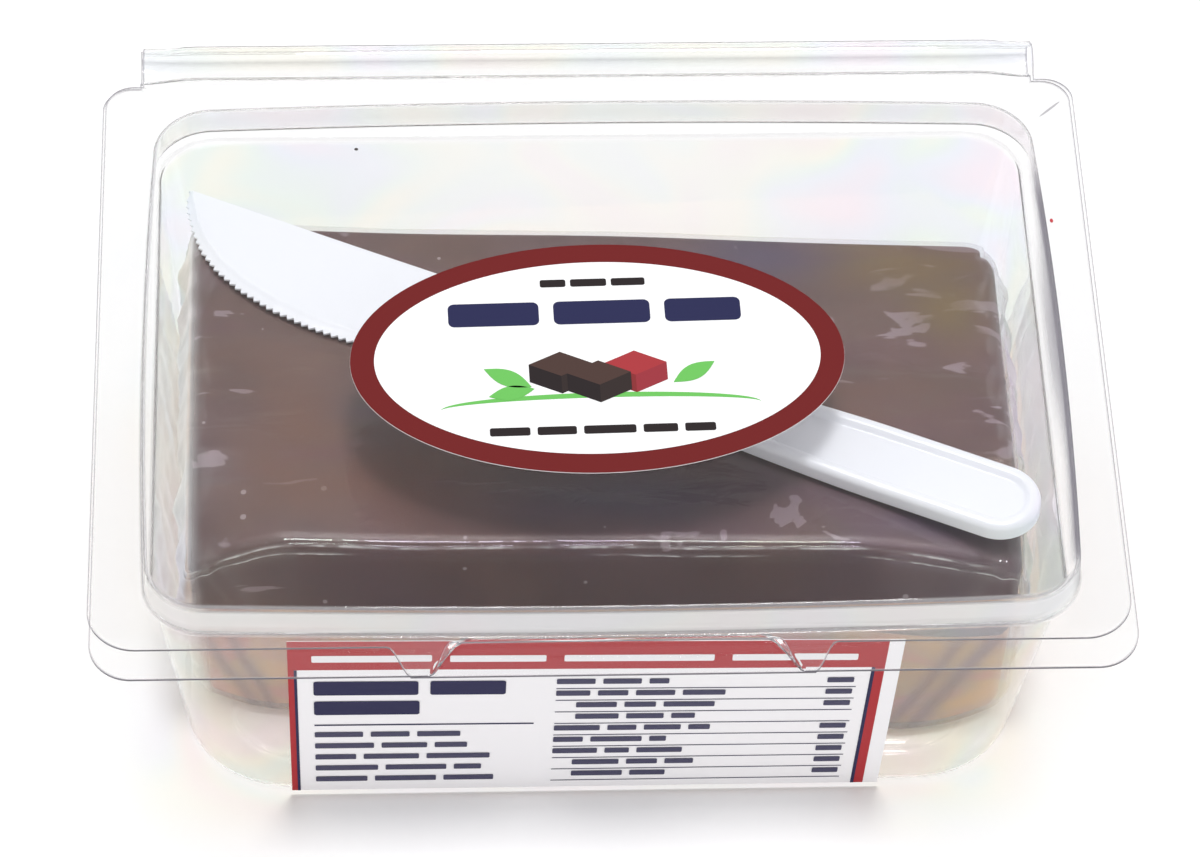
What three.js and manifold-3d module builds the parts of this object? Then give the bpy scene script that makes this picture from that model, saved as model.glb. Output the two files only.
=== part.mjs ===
// A shut, clear hinged pack of chocolate fudge: a tub and a domed lid of thin formed plastic,
// a two-layer block of fudge wrapped in film, a white knife lying on it, and two paper labels.
// Millimetres. +X is to the right, +Y runs from the front to the hinge, +Z is up, z = 0 is the
// surface that the pack stands on. Shapes are first laid out with y = 0 at the front of the rim.

import * as THREE from "three";
import { mergeVertices } from "three/addons/utils/BufferGeometryUtils.js";
import Module from "manifold-3d";

const wasm = await Module();
wasm.setup();

// Driving sizes of the pack
const rimWidth = 172.4; // left edge to right edge of the flat rim
const rimDepth = 132.2; // front edge of the tabs to the back edge of the rim
const tubHeight = 52; // floor to the top of the tub's rim
const domeHeight = 59.2; // floor to the flat top of the shut lid
const sheet = 0.5; // thickness of the formed plastic
const gap = 0.3; // kept between two pieces that touch
const lidSlip = 0.5; // the shut lid sits this far to the right of the tub
const paper = 0.25; // thickness of a label

// Plan sections of the walls: half width, front and back edge, corner radius, and how far
// the middle of each side bows out
const tubFoot = { halfWidth: 71.6, front: 14.8, back: 115.6, corner: 18.5, bow: 0 };
const tubMouth = { halfWidth: 76.1, front: 10, back: 120.3, corner: 10, bow: 0 };
const domeFoot = { halfWidth: 77.1, front: 9, back: 120.9, corner: 9.6, bow: 1.5 };
const domeCrown = { halfWidth: 76.7, front: 9.4, back: 120.5, corner: 9.2, bow: 1.6 };

// The rim's front edge steps between two lines, so that the tabs of tub and lid part by hand
const rimBackCorner = 5;
const tubRim = { cornerFront: 6.2, middleFront: 0.3, stepFrom: 33, stepTo: 37, corner: 8 };
const lidRim = { cornerFront: 0, middleFront: 6.5, stepFrom: 27.2, stepTo: 30.5, corner: 7 };

// The hinge: a half round bead on each rim, and a fold line behind them
const bead = { halfWidth: 79.7, front: 134.8, foldLine: 141.6, lip: 0.6, height: 3.4 };
const hingeOverlap = 1.2; // the bead's neck runs this far into the rim

// The floor of the tub: a standing ring with a raised panel inside it
const floorEdge = { panelInset: 8.5, ringInner: 7, ringOuter: 3, filletInset: 0.9, filletZ: 0.9 };
const wallStart = 3; // height where the bottom fillet ends
const panelRise = 0.8;
const crownFillet = 1.2; // rounding of the lid's top edge

// The wrapped block of fudge
const block = { left: -70.5, right: 71, front: 33.6, depth: 69.4, bottom: 1.6, top: 44, edge: 2.6 };
const blockTurn = -1.2; // degrees, seen from above
const blockBackTurn = -1.2; // the back face is turned by this much more
const layerLine = 24; // height where the light lower layer meets the chocolate one
const footSpread = { left: 2.5, right: 7.5 }; // the front face leans out by this much at the bottom
const endLean = 1.3; // each end face leans in by this much at the bottom
const frontCorners = [
  { side: -1, drop: 5.5, forward: 2.2, span: 17, reach: 20, curve: 1.6, footBack: 4, footSpan: 16 },
  { side: 1, drop: 5, forward: 1.8, span: 28, reach: 20, curve: 1.2, footBack: 9, footSpan: 20 },
];
const unevenness = 0.35; // height of the slow waves in the block's faces

// The knife, in its own frame: x runs from the tip along the spine, and y falls from the spine,
// at 0, towards the cutting edge
const knife = { length: 163.3, tipX: -71.1, tipY: 113.9, turn: -25, bladeThickness: 1.2 };
const blade = { rise: 1.3, pitch: 1.45, toothDepth: 0.75, toothedTo: 82, shoulder: 86, neckEnd: 96 };
const bladeEdge = [
  [0, 0], [1.5, -3.6], [4.6, -8], [8.2, -11.9], [12.5, -14.9], [18, -17.3],
  [25, -19.2], [33, -20.2], [42, -20.2], [55, -19.4], [70, -17.9], [86, -16],
];
const handle = { from: 88, middle: -8.6, halfWidth: 7.2, neckHalfWidth: 5.9, rim: 2.5, height: 3.7 };

// The labels
const ovalLabel = { x: -1.2, y: 61.9, length: 84, width: 51, turn: 1.3 };
const frontLabel = { left: -53.5, width: 102.4, top: 48.2, bottom: 1.3, pinch: 1.7 };

const cornerSteps = 7;
const sideSteps = 4;

// A solid for cutting and joining, from a closed geometry
function solid(geometry) {
  const bare = geometry.clone();
  bare.deleteAttribute("normal");
  bare.deleteAttribute("uv");
  const merged = mergeVertices(bare, 1e-4);
  return new wasm.Manifold(new wasm.Mesh({
    numProp: 3,
    vertProperties: new Float32Array(merged.attributes.position.array),
    triVerts: new Uint32Array(merged.index.array),
  }));
}

function geometryOf(made) {
  const { vertProperties, triVerts } = made.getMesh();
  const geometry = new THREE.BufferGeometry();
  geometry.setAttribute("position", new THREE.BufferAttribute(vertProperties, 3));
  geometry.setIndex(new THREE.BufferAttribute(triVerts, 1));
  geometry.computeVertexNormals();
  return geometry;
}

function join(...geometries) {
  return geometryOf(geometries.map(solid).reduce((sum, next) => sum.add(next)));
}

function mixSections(low, high, t) {
  const mixed = {};
  for (const key of Object.keys(low)) mixed[key] = THREE.MathUtils.lerp(low[key], high[key], t);
  return mixed;
}

// A rounded rectangle with bowed sides, as points that run anticlockwise seen from above
function outline(section, inset = 0) {
  const halfX = section.halfWidth - inset;
  const halfY = (section.back - section.front) / 2 - inset;
  const middleY = (section.back + section.front) / 2;
  const radius = Math.max(section.corner - inset, 1);
  const points = [];
  for (let quarter = 0; quarter < 4; quarter++) {
    const signX = quarter === 0 || quarter === 3 ? 1 : -1;
    const signY = quarter < 2 ? 1 : -1;
    for (let i = 0; i <= cornerSteps; i++) {
      const angle = (quarter + i / cornerSteps) * Math.PI / 2;
      points.push(new THREE.Vector2(
        signX * (halfX - radius) + radius * Math.cos(angle),
        signY * (halfY - radius) + radius * Math.sin(angle),
      ));
    }
    const from = points.at(-1);
    const along = quarter % 2 === 0 ? new THREE.Vector2(-signX, 0) : new THREE.Vector2(0, -signY);
    const run = 2 * ((quarter % 2 === 0 ? halfX : halfY) - radius);
    for (let i = 1; i < sideSteps; i++) {
      points.push(from.clone().addScaledVector(along, run * i / sideSteps));
    }
  }
  return points.map(({ x, y }) => new THREE.Vector2(
    x + section.bow * (x / halfX) * (1 - (y / halfY) ** 2),
    y + section.bow * (y / halfY) * (1 - (x / halfX) ** 2) + middleY,
  ));
}

// A closed skin through rings of equal length, with a fan over the first and the last ring.
// Rings run anticlockwise, up the outside of a wall and down its inside.
function loft(rings) {
  const count = rings[0].points.length;
  const positions = [];
  const index = [];
  for (const { points, z } of rings) {
    for (const { x, y } of points) positions.push(x, y, z);
  }
  for (let ring = 0; ring < rings.length - 1; ring++) {
    for (let i = 0; i < count; i++) {
      const a = ring * count + i;
      const b = ring * count + (i + 1) % count;
      index.push(a, b, b + count, a, b + count, a + count);
    }
  }
  for (const [ring, facingUp] of [[0, false], [rings.length - 1, true]]) {
    const middle = rings[ring].points.reduce((sum, p) => sum.add(p), new THREE.Vector2());
    middle.divideScalar(count);
    const hub = positions.length / 3;
    positions.push(middle.x, middle.y, rings[ring].z);
    for (let i = 0; i < count; i++) {
      const a = ring * count + i;
      const b = ring * count + (i + 1) % count;
      if (facingUp) index.push(hub, a, b);
      else index.push(hub, b, a);
    }
  }
  const geometry = new THREE.BufferGeometry();
  geometry.setAttribute("position", new THREE.Float32BufferAttribute(positions, 3));
  geometry.setIndex(index);
  return geometry;
}

// The flat rim round a mouth, with its stepped front edge
function rimPlate(rim, mouthPoints, z) {
  const half = rimWidth / 2;
  const stepMiddle = (rim.stepFrom + rim.stepTo) / 2;
  const shape = new THREE.Shape();
  shape.absarc(-half + rimBackCorner, rimDepth - rimBackCorner, rimBackCorner,
    Math.PI / 2, Math.PI, false);
  shape.absarc(-half + rim.corner, rim.cornerFront + rim.corner, rim.corner,
    Math.PI, 1.5 * Math.PI, false);
  shape.lineTo(-rim.stepTo, rim.cornerFront);
  shape.bezierCurveTo(-stepMiddle, rim.cornerFront, -stepMiddle, rim.middleFront,
    -rim.stepFrom, rim.middleFront);
  shape.lineTo(rim.stepFrom, rim.middleFront);
  shape.bezierCurveTo(stepMiddle, rim.middleFront, stepMiddle, rim.cornerFront,
    rim.stepTo, rim.cornerFront);
  shape.absarc(half - rim.corner, rim.cornerFront + rim.corner, rim.corner,
    1.5 * Math.PI, 2 * Math.PI, false);
  shape.absarc(half - rimBackCorner, rimDepth - rimBackCorner, rimBackCorner,
    0, Math.PI / 2, false);
  shape.closePath();
  shape.holes.push(new THREE.Path(mouthPoints));
  const plate = new THREE.ExtrudeGeometry(shape,
    { depth: sheet, bevelEnabled: false, curveSegments: 6 });
  return plate.translate(0, 0, z);
}

// A strip of even thickness round a centre line of [y, z] points, extruded along X
function ribbon(centreLine, thickness, fromX, toX) {
  const line = centreLine.map(([y, z]) => new THREE.Vector2(y, z));
  const offset = (side) => line.map((point, i) => {
    const before = line[Math.max(i - 1, 0)];
    const after = line[Math.min(i + 1, line.length - 1)];
    const inward = point.clone().sub(before).normalize();
    const outward = after.clone().sub(point).normalize();
    const along = inward.clone().add(outward).normalize();
    const bend = Math.max(along.dot(i ? inward : outward), 0.6);
    return point.clone().addScaledVector(new THREE.Vector2(-along.y, along.x), side / bend);
  });
  const shape = new THREE.Shape([...offset(-thickness / 2), ...offset(thickness / 2).reverse()]);
  const strip = new THREE.ExtrudeGeometry(shape, { depth: toX - fromX, bevelEnabled: false });
  strip.applyMatrix4(new THREE.Matrix4().makeBasis(
    new THREE.Vector3(0, 1, 0), new THREE.Vector3(0, 0, 1), new THREE.Vector3(1, 0, 0)));
  return strip.translate(fromX, 0, 0);
}

// The half round hinge bead of one rim: side is 1 for the lid's, above, and -1 for the tub's
function hingeBead(side, rimMiddleZ) {
  const back = bead.foldLine - bead.lip;
  const middle = (bead.front + back) / 2;
  const radius = (back - bead.front) / 2;
  const line = [[rimDepth - hingeOverlap, rimMiddleZ]];
  const steps = 10;
  for (let i = 0; i <= steps; i++) {
    const angle = Math.PI * i / steps;
    line.push([
      middle - radius * Math.cos(angle),
      rimMiddleZ + side * bead.height * Math.sin(angle),
    ]);
  }
  line.push([bead.foldLine, rimMiddleZ]);
  return ribbon(line, sheet, -bead.halfWidth, bead.halfWidth);
}

// The tub: floor with a standing ring, four leaning walls, rim and lower hinge bead
function makeTub() {
  const wall = (inset, z) => ({
    points: outline(mixSections(tubFoot, tubMouth, z / tubHeight), inset),
    z,
  });
  const { panelInset, ringInner, ringOuter, filletInset, filletZ } = floorEdge;
  const cup = loft([
    wall(panelInset, panelRise),
    wall(ringInner, 0),
    wall(ringOuter, 0),
    wall(filletInset, filletZ),
    wall(0, wallStart),
    wall(0, tubHeight),
    wall(sheet, tubHeight),
    wall(sheet, wallStart),
    wall(filletInset + sheet * 0.7, filletZ + sheet * 0.7),
    wall(ringOuter, sheet),
    wall(ringInner, sheet),
    wall(panelInset, panelRise + sheet),
  ]);
  const rim = rimPlate(tubRim, outline(tubMouth, sheet / 2), tubHeight - sheet);
  return join(cup, rim, hingeBead(-1, tubHeight - sheet / 2));
}

// The lid: a low dome with a flat top, rim and upper hinge bead
function makeLid() {
  const bottom = tubHeight + gap;
  const wall = (inset, z) => ({
    points: outline(mixSections(domeFoot, domeCrown, (z - bottom) / (domeHeight - bottom)), inset),
    z,
  });
  const step = crownFillet * 0.3;
  const dome = loft([
    wall(sheet + crownFillet, domeHeight - sheet),
    wall(sheet + step, domeHeight - sheet - step),
    wall(sheet, domeHeight - sheet - crownFillet),
    wall(sheet, bottom),
    wall(0, bottom),
    wall(0, domeHeight - crownFillet),
    wall(step, domeHeight - step),
    wall(crownFillet, domeHeight),
  ]);
  const rim = rimPlate(lidRim, outline(domeFoot, sheet / 2), bottom);
  return join(dome, rim, hingeBead(1, bottom + sheet / 2));
}

// Grid lines across a rounded box: two steps in each rounding and even steps between
function stations(half, radius, steps) {
  const inner = half - radius;
  const middle = half - radius * (1 - Math.tan(Math.PI / 8));
  const lines = [-half, -middle];
  for (let i = 0; i <= steps - 4; i++) lines.push(-inner + 2 * inner * i / (steps - 4));
  return [...lines, middle, half];
}

// The wrapped block: a rounded box that leans, waves a little and sinks at its front corners
function makeBlock() {
  const half = new THREE.Vector3(
    (block.right - block.left) / 2, block.depth / 2, (block.top - block.bottom) / 2);
  const steps = [28, 16, 10];
  const geometry = new THREE.BoxGeometry(2, 2, 2, ...steps);
  geometry.deleteAttribute("normal");
  geometry.deleteAttribute("uv");
  const merged = mergeVertices(geometry, 1e-4);
  const lines = half.toArray().map((size, axis) => stations(size, block.edge, steps[axis]));
  const position = merged.attributes.position;
  const point = new THREE.Vector3();
  const core = half.clone().subScalar(block.edge);
  for (let i = 0; i < position.count; i++) {
    const cell = [0, 1, 2].map((axis) =>
      lines[axis][Math.round((position.array[3 * i + axis] + 1) / 2 * steps[axis])]);
    point.fromArray(cell);
    const inside = point.clone().clamp(core.clone().negate(), core);
    point.sub(inside).setLength(block.edge).add(inside);
    shapeBlock(point, half);
    position.setXYZ(i, point.x, point.y, point.z);
  }
  merged.computeVertexNormals();
  return merged;
}

// Moves a point of the plain rounded box to its place on the real block
function shapeBlock(point, half) {
  const { x, y, z } = point;
  const low = (half.z - z) / (2 * half.z);
  const back = (y + half.y) / (2 * half.y);
  const wave = unevenness * (Math.sin(x / 11 + 1.3) * Math.cos(y / 9) + Math.sin(x / 23 - y / 15));
  const share = (x / half.x + 1) / 2;
  let forward = THREE.MathUtils.lerp(footSpread.left, footSpread.right, share) * low * (1 - back);
  let sink = 0;
  for (const corner of frontCorners) {
    const nearEnd = THREE.MathUtils.clamp(1 - (half.x - corner.side * x) / corner.span, 0, 1);
    const nearFront = THREE.MathUtils.clamp(1 - (y + half.y) / corner.reach, 0, 1);
    const amount = nearEnd ** corner.curve * nearFront;
    sink += corner.drop * amount * (1 - low);
    forward += corner.forward * amount * (1 - low);
    const footEnd = THREE.MathUtils.clamp(1 - (half.x - corner.side * x) / corner.footSpan, 0, 1);
    forward -= corner.footBack * footEnd ** 2 * nearFront * low;
  }
  const turn = THREE.MathUtils.degToRad(blockTurn + blockBackTurn * back);
  const sideX = x * (1 - endLean * low / half.x);
  const frontY = y - forward - wave * low * (1 - low) * 2;
  point.set(
    sideX + (block.left + block.right) / 2,
    frontY + sideX * Math.tan(turn) + block.front + half.y,
    z - sink - (wave + 2 * unevenness) * (1 - low) + half.z + block.bottom,
  );
}

// The blade's outline: a straight spine, a curved cutting edge with fine teeth, and a neck
function bladeShape() {
  const edge = new THREE.SplineCurve(bladeEdge.map(([x, y]) => new THREE.Vector2(x, y)));
  const toothedLength = edge.getLength() * blade.toothedTo / blade.shoulder;
  const count = Math.round(toothedLength / blade.pitch);
  const points = [new THREE.Vector2(0, 0)];
  for (let tooth = 1; tooth <= count; tooth++) {
    const root = edge.getPointAt((tooth - 0.1) / count * blade.toothedTo / blade.shoulder);
    const peakAt = (tooth - 0.55) / count * blade.toothedTo / blade.shoulder;
    const along = edge.getTangentAt(peakAt);
    const peak = edge.getPointAt(peakAt);
    peak.add(new THREE.Vector2(along.y, -along.x).multiplyScalar(blade.toothDepth));
    points.push(peak, root);
  }
  points.push(new THREE.Vector2(...bladeEdge.at(-1)));
  points.push(new THREE.Vector2(blade.neckEnd, handle.middle - handle.neckHalfWidth + 1));
  points.push(new THREE.Vector2(blade.neckEnd, handle.middle + handle.neckHalfWidth - 1));
  points.push(new THREE.Vector2(blade.shoulder - 8, 0));
  return new THREE.Shape(points);
}

// The handle's outline, drawn in by an inset: it widens from the neck to a round end
function handleShape(inset) {
  const endRadius = handle.halfWidth - inset;
  const neckRadius = handle.neckHalfWidth - inset;
  const endX = knife.length - handle.halfWidth;
  const neckX = handle.from + handle.neckHalfWidth;
  const shape = new THREE.Shape();
  shape.absarc(endX, handle.middle, endRadius, -Math.PI / 2, Math.PI / 2, false);
  shape.absarc(neckX, handle.middle, neckRadius, Math.PI / 2, 1.5 * Math.PI, false);
  shape.closePath();
  return shape;
}

// The knife, laid on the block: a thin blade, a thin web in the handle and a raised rim round it
function makeKnife() {
  const flat = { bevelEnabled: false, curveSegments: 10 };
  const thin = { ...flat, depth: knife.bladeThickness };
  const bladeSolid = new THREE.ExtrudeGeometry(bladeShape(), thin).translate(0, 0, blade.rise);
  const web = new THREE.ExtrudeGeometry(handleShape(handle.rim / 2), thin);
  web.translate(0, 0, blade.rise);
  const rimShape = handleShape(0);
  rimShape.holes.push(handleShape(handle.rim));
  const rim = new THREE.ExtrudeGeometry(rimShape, { ...flat, depth: handle.height });
  return join(bladeSolid, web, rim);
}

// The front label follows the front wall down to the bottom fillet and narrows a little
function makeFrontLabel() {
  const middle = gap + paper / 2;
  const wallY = (z) => THREE.MathUtils.lerp(tubFoot.front, tubMouth.front, z / tubHeight);
  const line = [
    [wallY(frontLabel.top) - middle, frontLabel.top],
    [wallY(wallStart) - middle, wallStart],
    [wallY(frontLabel.bottom) - middle * 0.8 + floorEdge.filletInset / 2, frontLabel.bottom],
  ];
  const strip = ribbon(line, paper, 0, 1);
  const position = strip.attributes.position;
  const height = frontLabel.top - frontLabel.bottom;
  for (let i = 0; i < position.count; i++) {
    const down = (frontLabel.top - position.getZ(i)) / height;
    const width = frontLabel.width - frontLabel.pinch * down;
    position.setX(i, frontLabel.left + width * position.getX(i));
  }
  return strip;
}

function makeOvalLabel() {
  const shape = new THREE.Shape();
  shape.absellipse(0, 0, ovalLabel.length / 2, ovalLabel.width / 2, 0, 2 * Math.PI, false);
  return new THREE.ExtrudeGeometry(shape,
    { depth: paper, bevelEnabled: false, curveSegments: 48 });
}

// The block is cut level into its two layers, a gap apart
function makeLayer(upper) {
  const side = upper ? 1 : -1;
  return geometryOf(solid(makeBlock()).trimByPlane([0, 0, side], side * layerLine + gap / 2));
}

function finish(color, roughness, extra = {}) {
  return new THREE.MeshStandardMaterial({ color, roughness, metalness: 0, ...extra });
}

const clearPlastic = finish(0xf2f3f5, 0.06, { transparent: true, opacity: 0.35 });
const wrappedFudge = finish(0x5d4643, 0.3);
const lightFudge = finish(0xc9a88a, 0.35);
const whitePlastic = finish(0xf1f2f6, 0.35);
const paperWhite = finish(0xf6f4f4, 0.45);
const paperRed = finish(0x86292d, 0.4);

function named(name, geometry, material) {
  const mesh = new THREE.Mesh(geometry, material);
  mesh.name = name;
  return mesh;
}

// Everything that stays with the tub
const tray = new THREE.Group();
tray.position.x = -lidSlip / 2;
tray.add(named("tub", makeTub(), clearPlastic));
tray.add(named("fudge", makeLayer(true), wrappedFudge));
tray.add(named("fudge_base", makeLayer(false), lightFudge));
tray.add(named("front_label", makeFrontLabel(), paperWhite));
const knifeMesh = named("knife", makeKnife(), whitePlastic);
knifeMesh.position.set(knife.tipX, knife.tipY, block.top + gap);
knifeMesh.rotation.z = THREE.MathUtils.degToRad(knife.turn);
tray.add(knifeMesh);

// Everything that opens with the lid
const cover = new THREE.Group();
cover.position.x = lidSlip / 2;
cover.add(named("lid", makeLid(), clearPlastic));
const ovalMesh = named("lid_label", makeOvalLabel(), paperRed);
ovalMesh.position.set(ovalLabel.x, ovalLabel.y, domeHeight + gap);
ovalMesh.rotation.z = THREE.MathUtils.degToRad(ovalLabel.turn);
cover.add(ovalMesh);

// The pack is centred over the origin, front to fold line
const pack = new THREE.Group();
pack.position.y = -bead.foldLine / 2;
pack.add(tray, cover);

const model = new THREE.Group();
model.add(pack);
export default model;
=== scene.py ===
import math
import bpy
import numpy as np
from mathutils import Matrix, Vector


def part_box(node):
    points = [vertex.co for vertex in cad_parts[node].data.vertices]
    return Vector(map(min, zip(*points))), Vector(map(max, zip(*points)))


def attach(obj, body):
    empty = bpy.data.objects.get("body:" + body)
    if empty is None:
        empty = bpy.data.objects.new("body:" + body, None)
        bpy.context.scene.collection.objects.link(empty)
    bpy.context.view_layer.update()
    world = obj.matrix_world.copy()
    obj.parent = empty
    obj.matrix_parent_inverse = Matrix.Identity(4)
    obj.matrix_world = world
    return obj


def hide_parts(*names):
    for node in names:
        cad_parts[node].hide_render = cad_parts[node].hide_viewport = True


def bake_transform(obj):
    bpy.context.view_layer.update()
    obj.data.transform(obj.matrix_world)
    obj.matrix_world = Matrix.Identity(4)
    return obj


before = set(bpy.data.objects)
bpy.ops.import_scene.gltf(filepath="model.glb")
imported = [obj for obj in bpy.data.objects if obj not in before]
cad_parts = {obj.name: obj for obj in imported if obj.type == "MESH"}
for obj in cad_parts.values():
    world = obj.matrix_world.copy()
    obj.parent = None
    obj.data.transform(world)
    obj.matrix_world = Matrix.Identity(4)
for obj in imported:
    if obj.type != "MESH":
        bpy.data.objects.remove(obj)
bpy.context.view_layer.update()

mm = 0.001
tubLow, tubHigh = (np.array(c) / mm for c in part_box("tub"))
lidLow, lidHigh = (np.array(c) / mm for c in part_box("lid"))
frontY = lidLow[1]  # the layout's y = 0, the front edge of the rim's tabs
trayShift = np.array([(tubLow[0] + tubHigh[0]) / 2, frontY, 0.0])
coverShift = np.array([(lidLow[0] + lidHigh[0]) / 2, frontY, 0.0])
rimWidth = tubHigh[0] - tubLow[0]
tubHeight = tubHigh[2]
foldLineY = tubHigh[1] - frontY
print("frame loaded, rim", round(rimWidth, 1), "mm wide")


def linear(hexColour):
    # sRGB hex to linear RGBA
    values = [int(hexColour[i:i + 2], 16) / 255 for i in (0, 2, 4)]
    return [v / 12.92 if v <= 0.04045 else ((v + 0.055) / 1.055) ** 2.4 for v in values] + [1.0]


def newMaterial(name):
    material = bpy.data.materials.new(name)
    material.use_nodes = True
    material.node_tree.nodes.clear()
    return material


def addNode(material, kind, settings=None, **inputs):
    # adds a node, sets its properties, and sets or links its inputs
    node = material.node_tree.nodes.new(kind)
    for key, value in (settings or {}).items():
        setattr(node, key, value)
    for key, value in inputs.items():
        name = key.replace("_", " ")
        socket = node.inputs[int(key[1:])] if key[0] == "i" and key[1:].isdigit() else node.inputs[name]
        if isinstance(value, bpy.types.NodeSocket):
            material.node_tree.links.new(value, socket)
        else:
            socket.default_value = value
    return node


def attributeOf(material, name, output="Fac"):
    return addNode(material, "ShaderNodeAttribute", {"attribute_name": name}).outputs[output]


def placeOf(material, scale=(1.0, 1.0, 1.0)):
    where = addNode(material, "ShaderNodeTexCoord").outputs["Object"]
    return addNode(material, "ShaderNodeMapping", Vector=where, Scale=scale).outputs["Vector"]


def noiseOf(material, place, size, **inputs):
    # size in millimetres
    node = addNode(material, "ShaderNodeTexNoise", Vector=place, Scale=1 / (size * mm), **inputs)
    return node.outputs["Fac"]


def mathOf(material, operation, *values, clamp=False):
    inputs = {"i" + str(k): value for k, value in enumerate(values)}
    node = addNode(material, "ShaderNodeMath", {"operation": operation, "use_clamp": clamp}, **inputs)
    return node.outputs[0]


def rangeOf(material, value, start, stop=(0.0, 1.0), soft=False):
    # takes the range start to the range stop, with soft ends where asked
    node = addNode(material, "ShaderNodeMapRange", {"interpolation_type": "SMOOTHSTEP" if soft else "LINEAR"},
                   Value=value, From_Min=start[0], From_Max=start[1], To_Min=stop[0], To_Max=stop[1])
    return node.outputs["Result"]


def mixOf(material, factor, first, second):
    node = addNode(material, "ShaderNodeMix", {"data_type": "RGBA"}, i0=factor, i6=first, i7=second)
    return node.outputs[2]


def rampOf(material, factor, stops):
    # stops: position and colour, in rising order
    node = addNode(material, "ShaderNodeValToRGB", Fac=factor)
    elements = node.color_ramp.elements
    while len(elements) < len(stops):
        elements.new(0.5)
    for element, (position, colour) in zip(elements, stops):
        element.position = position
        element.color = linear(colour)
    return node.outputs["Color"]


def mixShaders(material, factor, first, second):
    return addNode(material, "ShaderNodeMixShader", i0=factor, i1=first.outputs[0], i2=second.outputs[0])


def finished(material, shader):
    addNode(material, "ShaderNodeOutputMaterial", Surface=shader.outputs[0])
    return material


def plainMaterial(name, colour, roughness, **inputs):
    material = newMaterial(name)
    return finished(material, addNode(material, "ShaderNodeBsdfPrincipled", Base_Color=linear(colour),
                                      Roughness=roughness, **inputs))


def smoothStep(t):
    t = np.clip(t, 0, 1)
    return t * t * (3 - 2 * t)


def hump(t):
    return np.exp(-t ** 2)


def spun(flat, degrees):
    # turns x, y points anticlockwise
    turn = math.radians(degrees)
    return flat @ np.array([[math.cos(turn), math.sin(turn)], [-math.sin(turn), math.cos(turn)]])


def ripple(x, y, seed, waves=7, scale=10.0):
    # smooth noise: a sum of sine waves of random direction, length near scale, and phase
    draw = np.random.default_rng(seed)
    total = np.zeros(np.broadcast(x, y).shape)
    for _ in range(waves):
        angle, length, phase = draw.uniform(0, math.pi), scale * draw.uniform(0.6, 1.6), draw.uniform(0, 6.3)
        total += np.sin((x * math.cos(angle) + y * math.sin(angle)) * 2 * math.pi / length + phase)
    return total / waves


def meshFrom(name, points, faces, material):
    # points in millimetres in the row frame; faces is a list of index arrays of equal row length
    mesh = bpy.data.meshes.new(name)
    faceSets = [np.asarray(f, dtype=np.int64) for f in faces if len(f)]
    sizes = np.concatenate([np.full(len(f), f.shape[1]) for f in faceSets])
    corners = np.concatenate([f.ravel() for f in faceSets])
    mesh.vertices.add(len(points))
    mesh.vertices.foreach_set("co", (np.asarray(points, dtype=float) * mm).ravel())
    mesh.loops.add(len(corners))
    mesh.loops.foreach_set("vertex_index", corners)
    mesh.polygons.add(len(sizes))
    mesh.polygons.foreach_set("loop_start", np.concatenate([[0], np.cumsum(sizes)[:-1]]))
    mesh.polygons.foreach_set("use_smooth", np.ones(len(sizes), dtype=bool))
    mesh.update(calc_edges=True)
    mesh.validate()
    if material:
        mesh.materials.append(material)
    piece = bpy.data.objects.new(name, mesh)
    bpy.context.collection.objects.link(piece)
    return piece


def gridFaces(rows, columns, wrap=True, keep=None):
    # quads between neighbouring rows and columns; keep lists the columns whose gap to the next is filled
    row = np.arange(rows - 1)[:, None]
    column = np.arange(columns if wrap else columns - 1)[None, :]
    if keep is not None:
        column = column[:, keep]
    after = (column + 1) % columns
    quads = np.stack(np.broadcast_arrays(
        row * columns + column, row * columns + after,
        (row + 1) * columns + after, (row + 1) * columns + column), axis=-1)
    return quads.reshape(-1, 4)


def plateFaces(rows, columns):
    # a grid of points and then the grid of its back, each facing away from the other, joined round their edge
    faces = gridFaces(rows, columns, wrap=False)
    index = np.arange(rows * columns).reshape(rows, columns)
    edge = np.concatenate([index[0], index[1:, -1], index[-1, ::-1][1:], index[::-1, 0][1:-1]])
    after = np.roll(edge, -1)
    sides = np.stack([edge, after, after + index.size, edge + index.size], axis=1)
    return [faces[:, ::-1], faces + index.size, sides]


def fan(hub, firstIndex, columns, up):
    # triangles from a hub point to a ring of columns points
    ring = firstIndex + np.arange(columns)
    after = np.roll(ring, -1)
    pair = (ring, after) if up else (after, ring)
    return np.stack([np.full(columns, hub), *pair], axis=-1)


def settle(piece, thickness=None, sharp=35):
    # gives a sheet its thickness, applies it, and keeps cut edges crisp
    if thickness:
        solidify = piece.modifiers.new("sheet", "SOLIDIFY")
        solidify.thickness = thickness * mm
        solidify.offset = 0
        graph = bpy.context.evaluated_depsgraph_get()
        finishedMesh = bpy.data.meshes.new_from_object(piece.evaluated_get(graph))
        piece.modifiers.clear()
        piece.data = finishedMesh
    piece.data.set_sharp_from_angle(angle=math.radians(sharp))
    return piece


def pointsOf(piece):
    # x, y and z of its points in row millimetres
    co = np.empty(len(piece.data.vertices) * 3)
    piece.data.vertices.foreach_get("co", co)
    return co.reshape(-1, 3).T / mm


def storeLevels(piece, levels):
    # gives each point of the piece a number under each name, for its material
    for name, level in levels.items():
        values = np.broadcast_to(level, len(piece.data.vertices)).astype(np.float32)
        piece.data.attributes.new(name, "FLOAT", "POINT").data.foreach_set("value", values)


# Camera: straight edges of the rim and the wall give its place
cameraSettings = {
    "aim": (-0.75, -19.0, 52.5),  # mm, where its axis meets the rim's plane
    "distance": 923.2,  # mm
    "elevation": 50.0,  # degrees above the table
    "swing": 3.57,  # degrees, how far it looks to the right of straight ahead
    "roll": 2.06,
    "lens": 163.6,  # mm, for a sensor 36 mm wide
}


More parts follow.
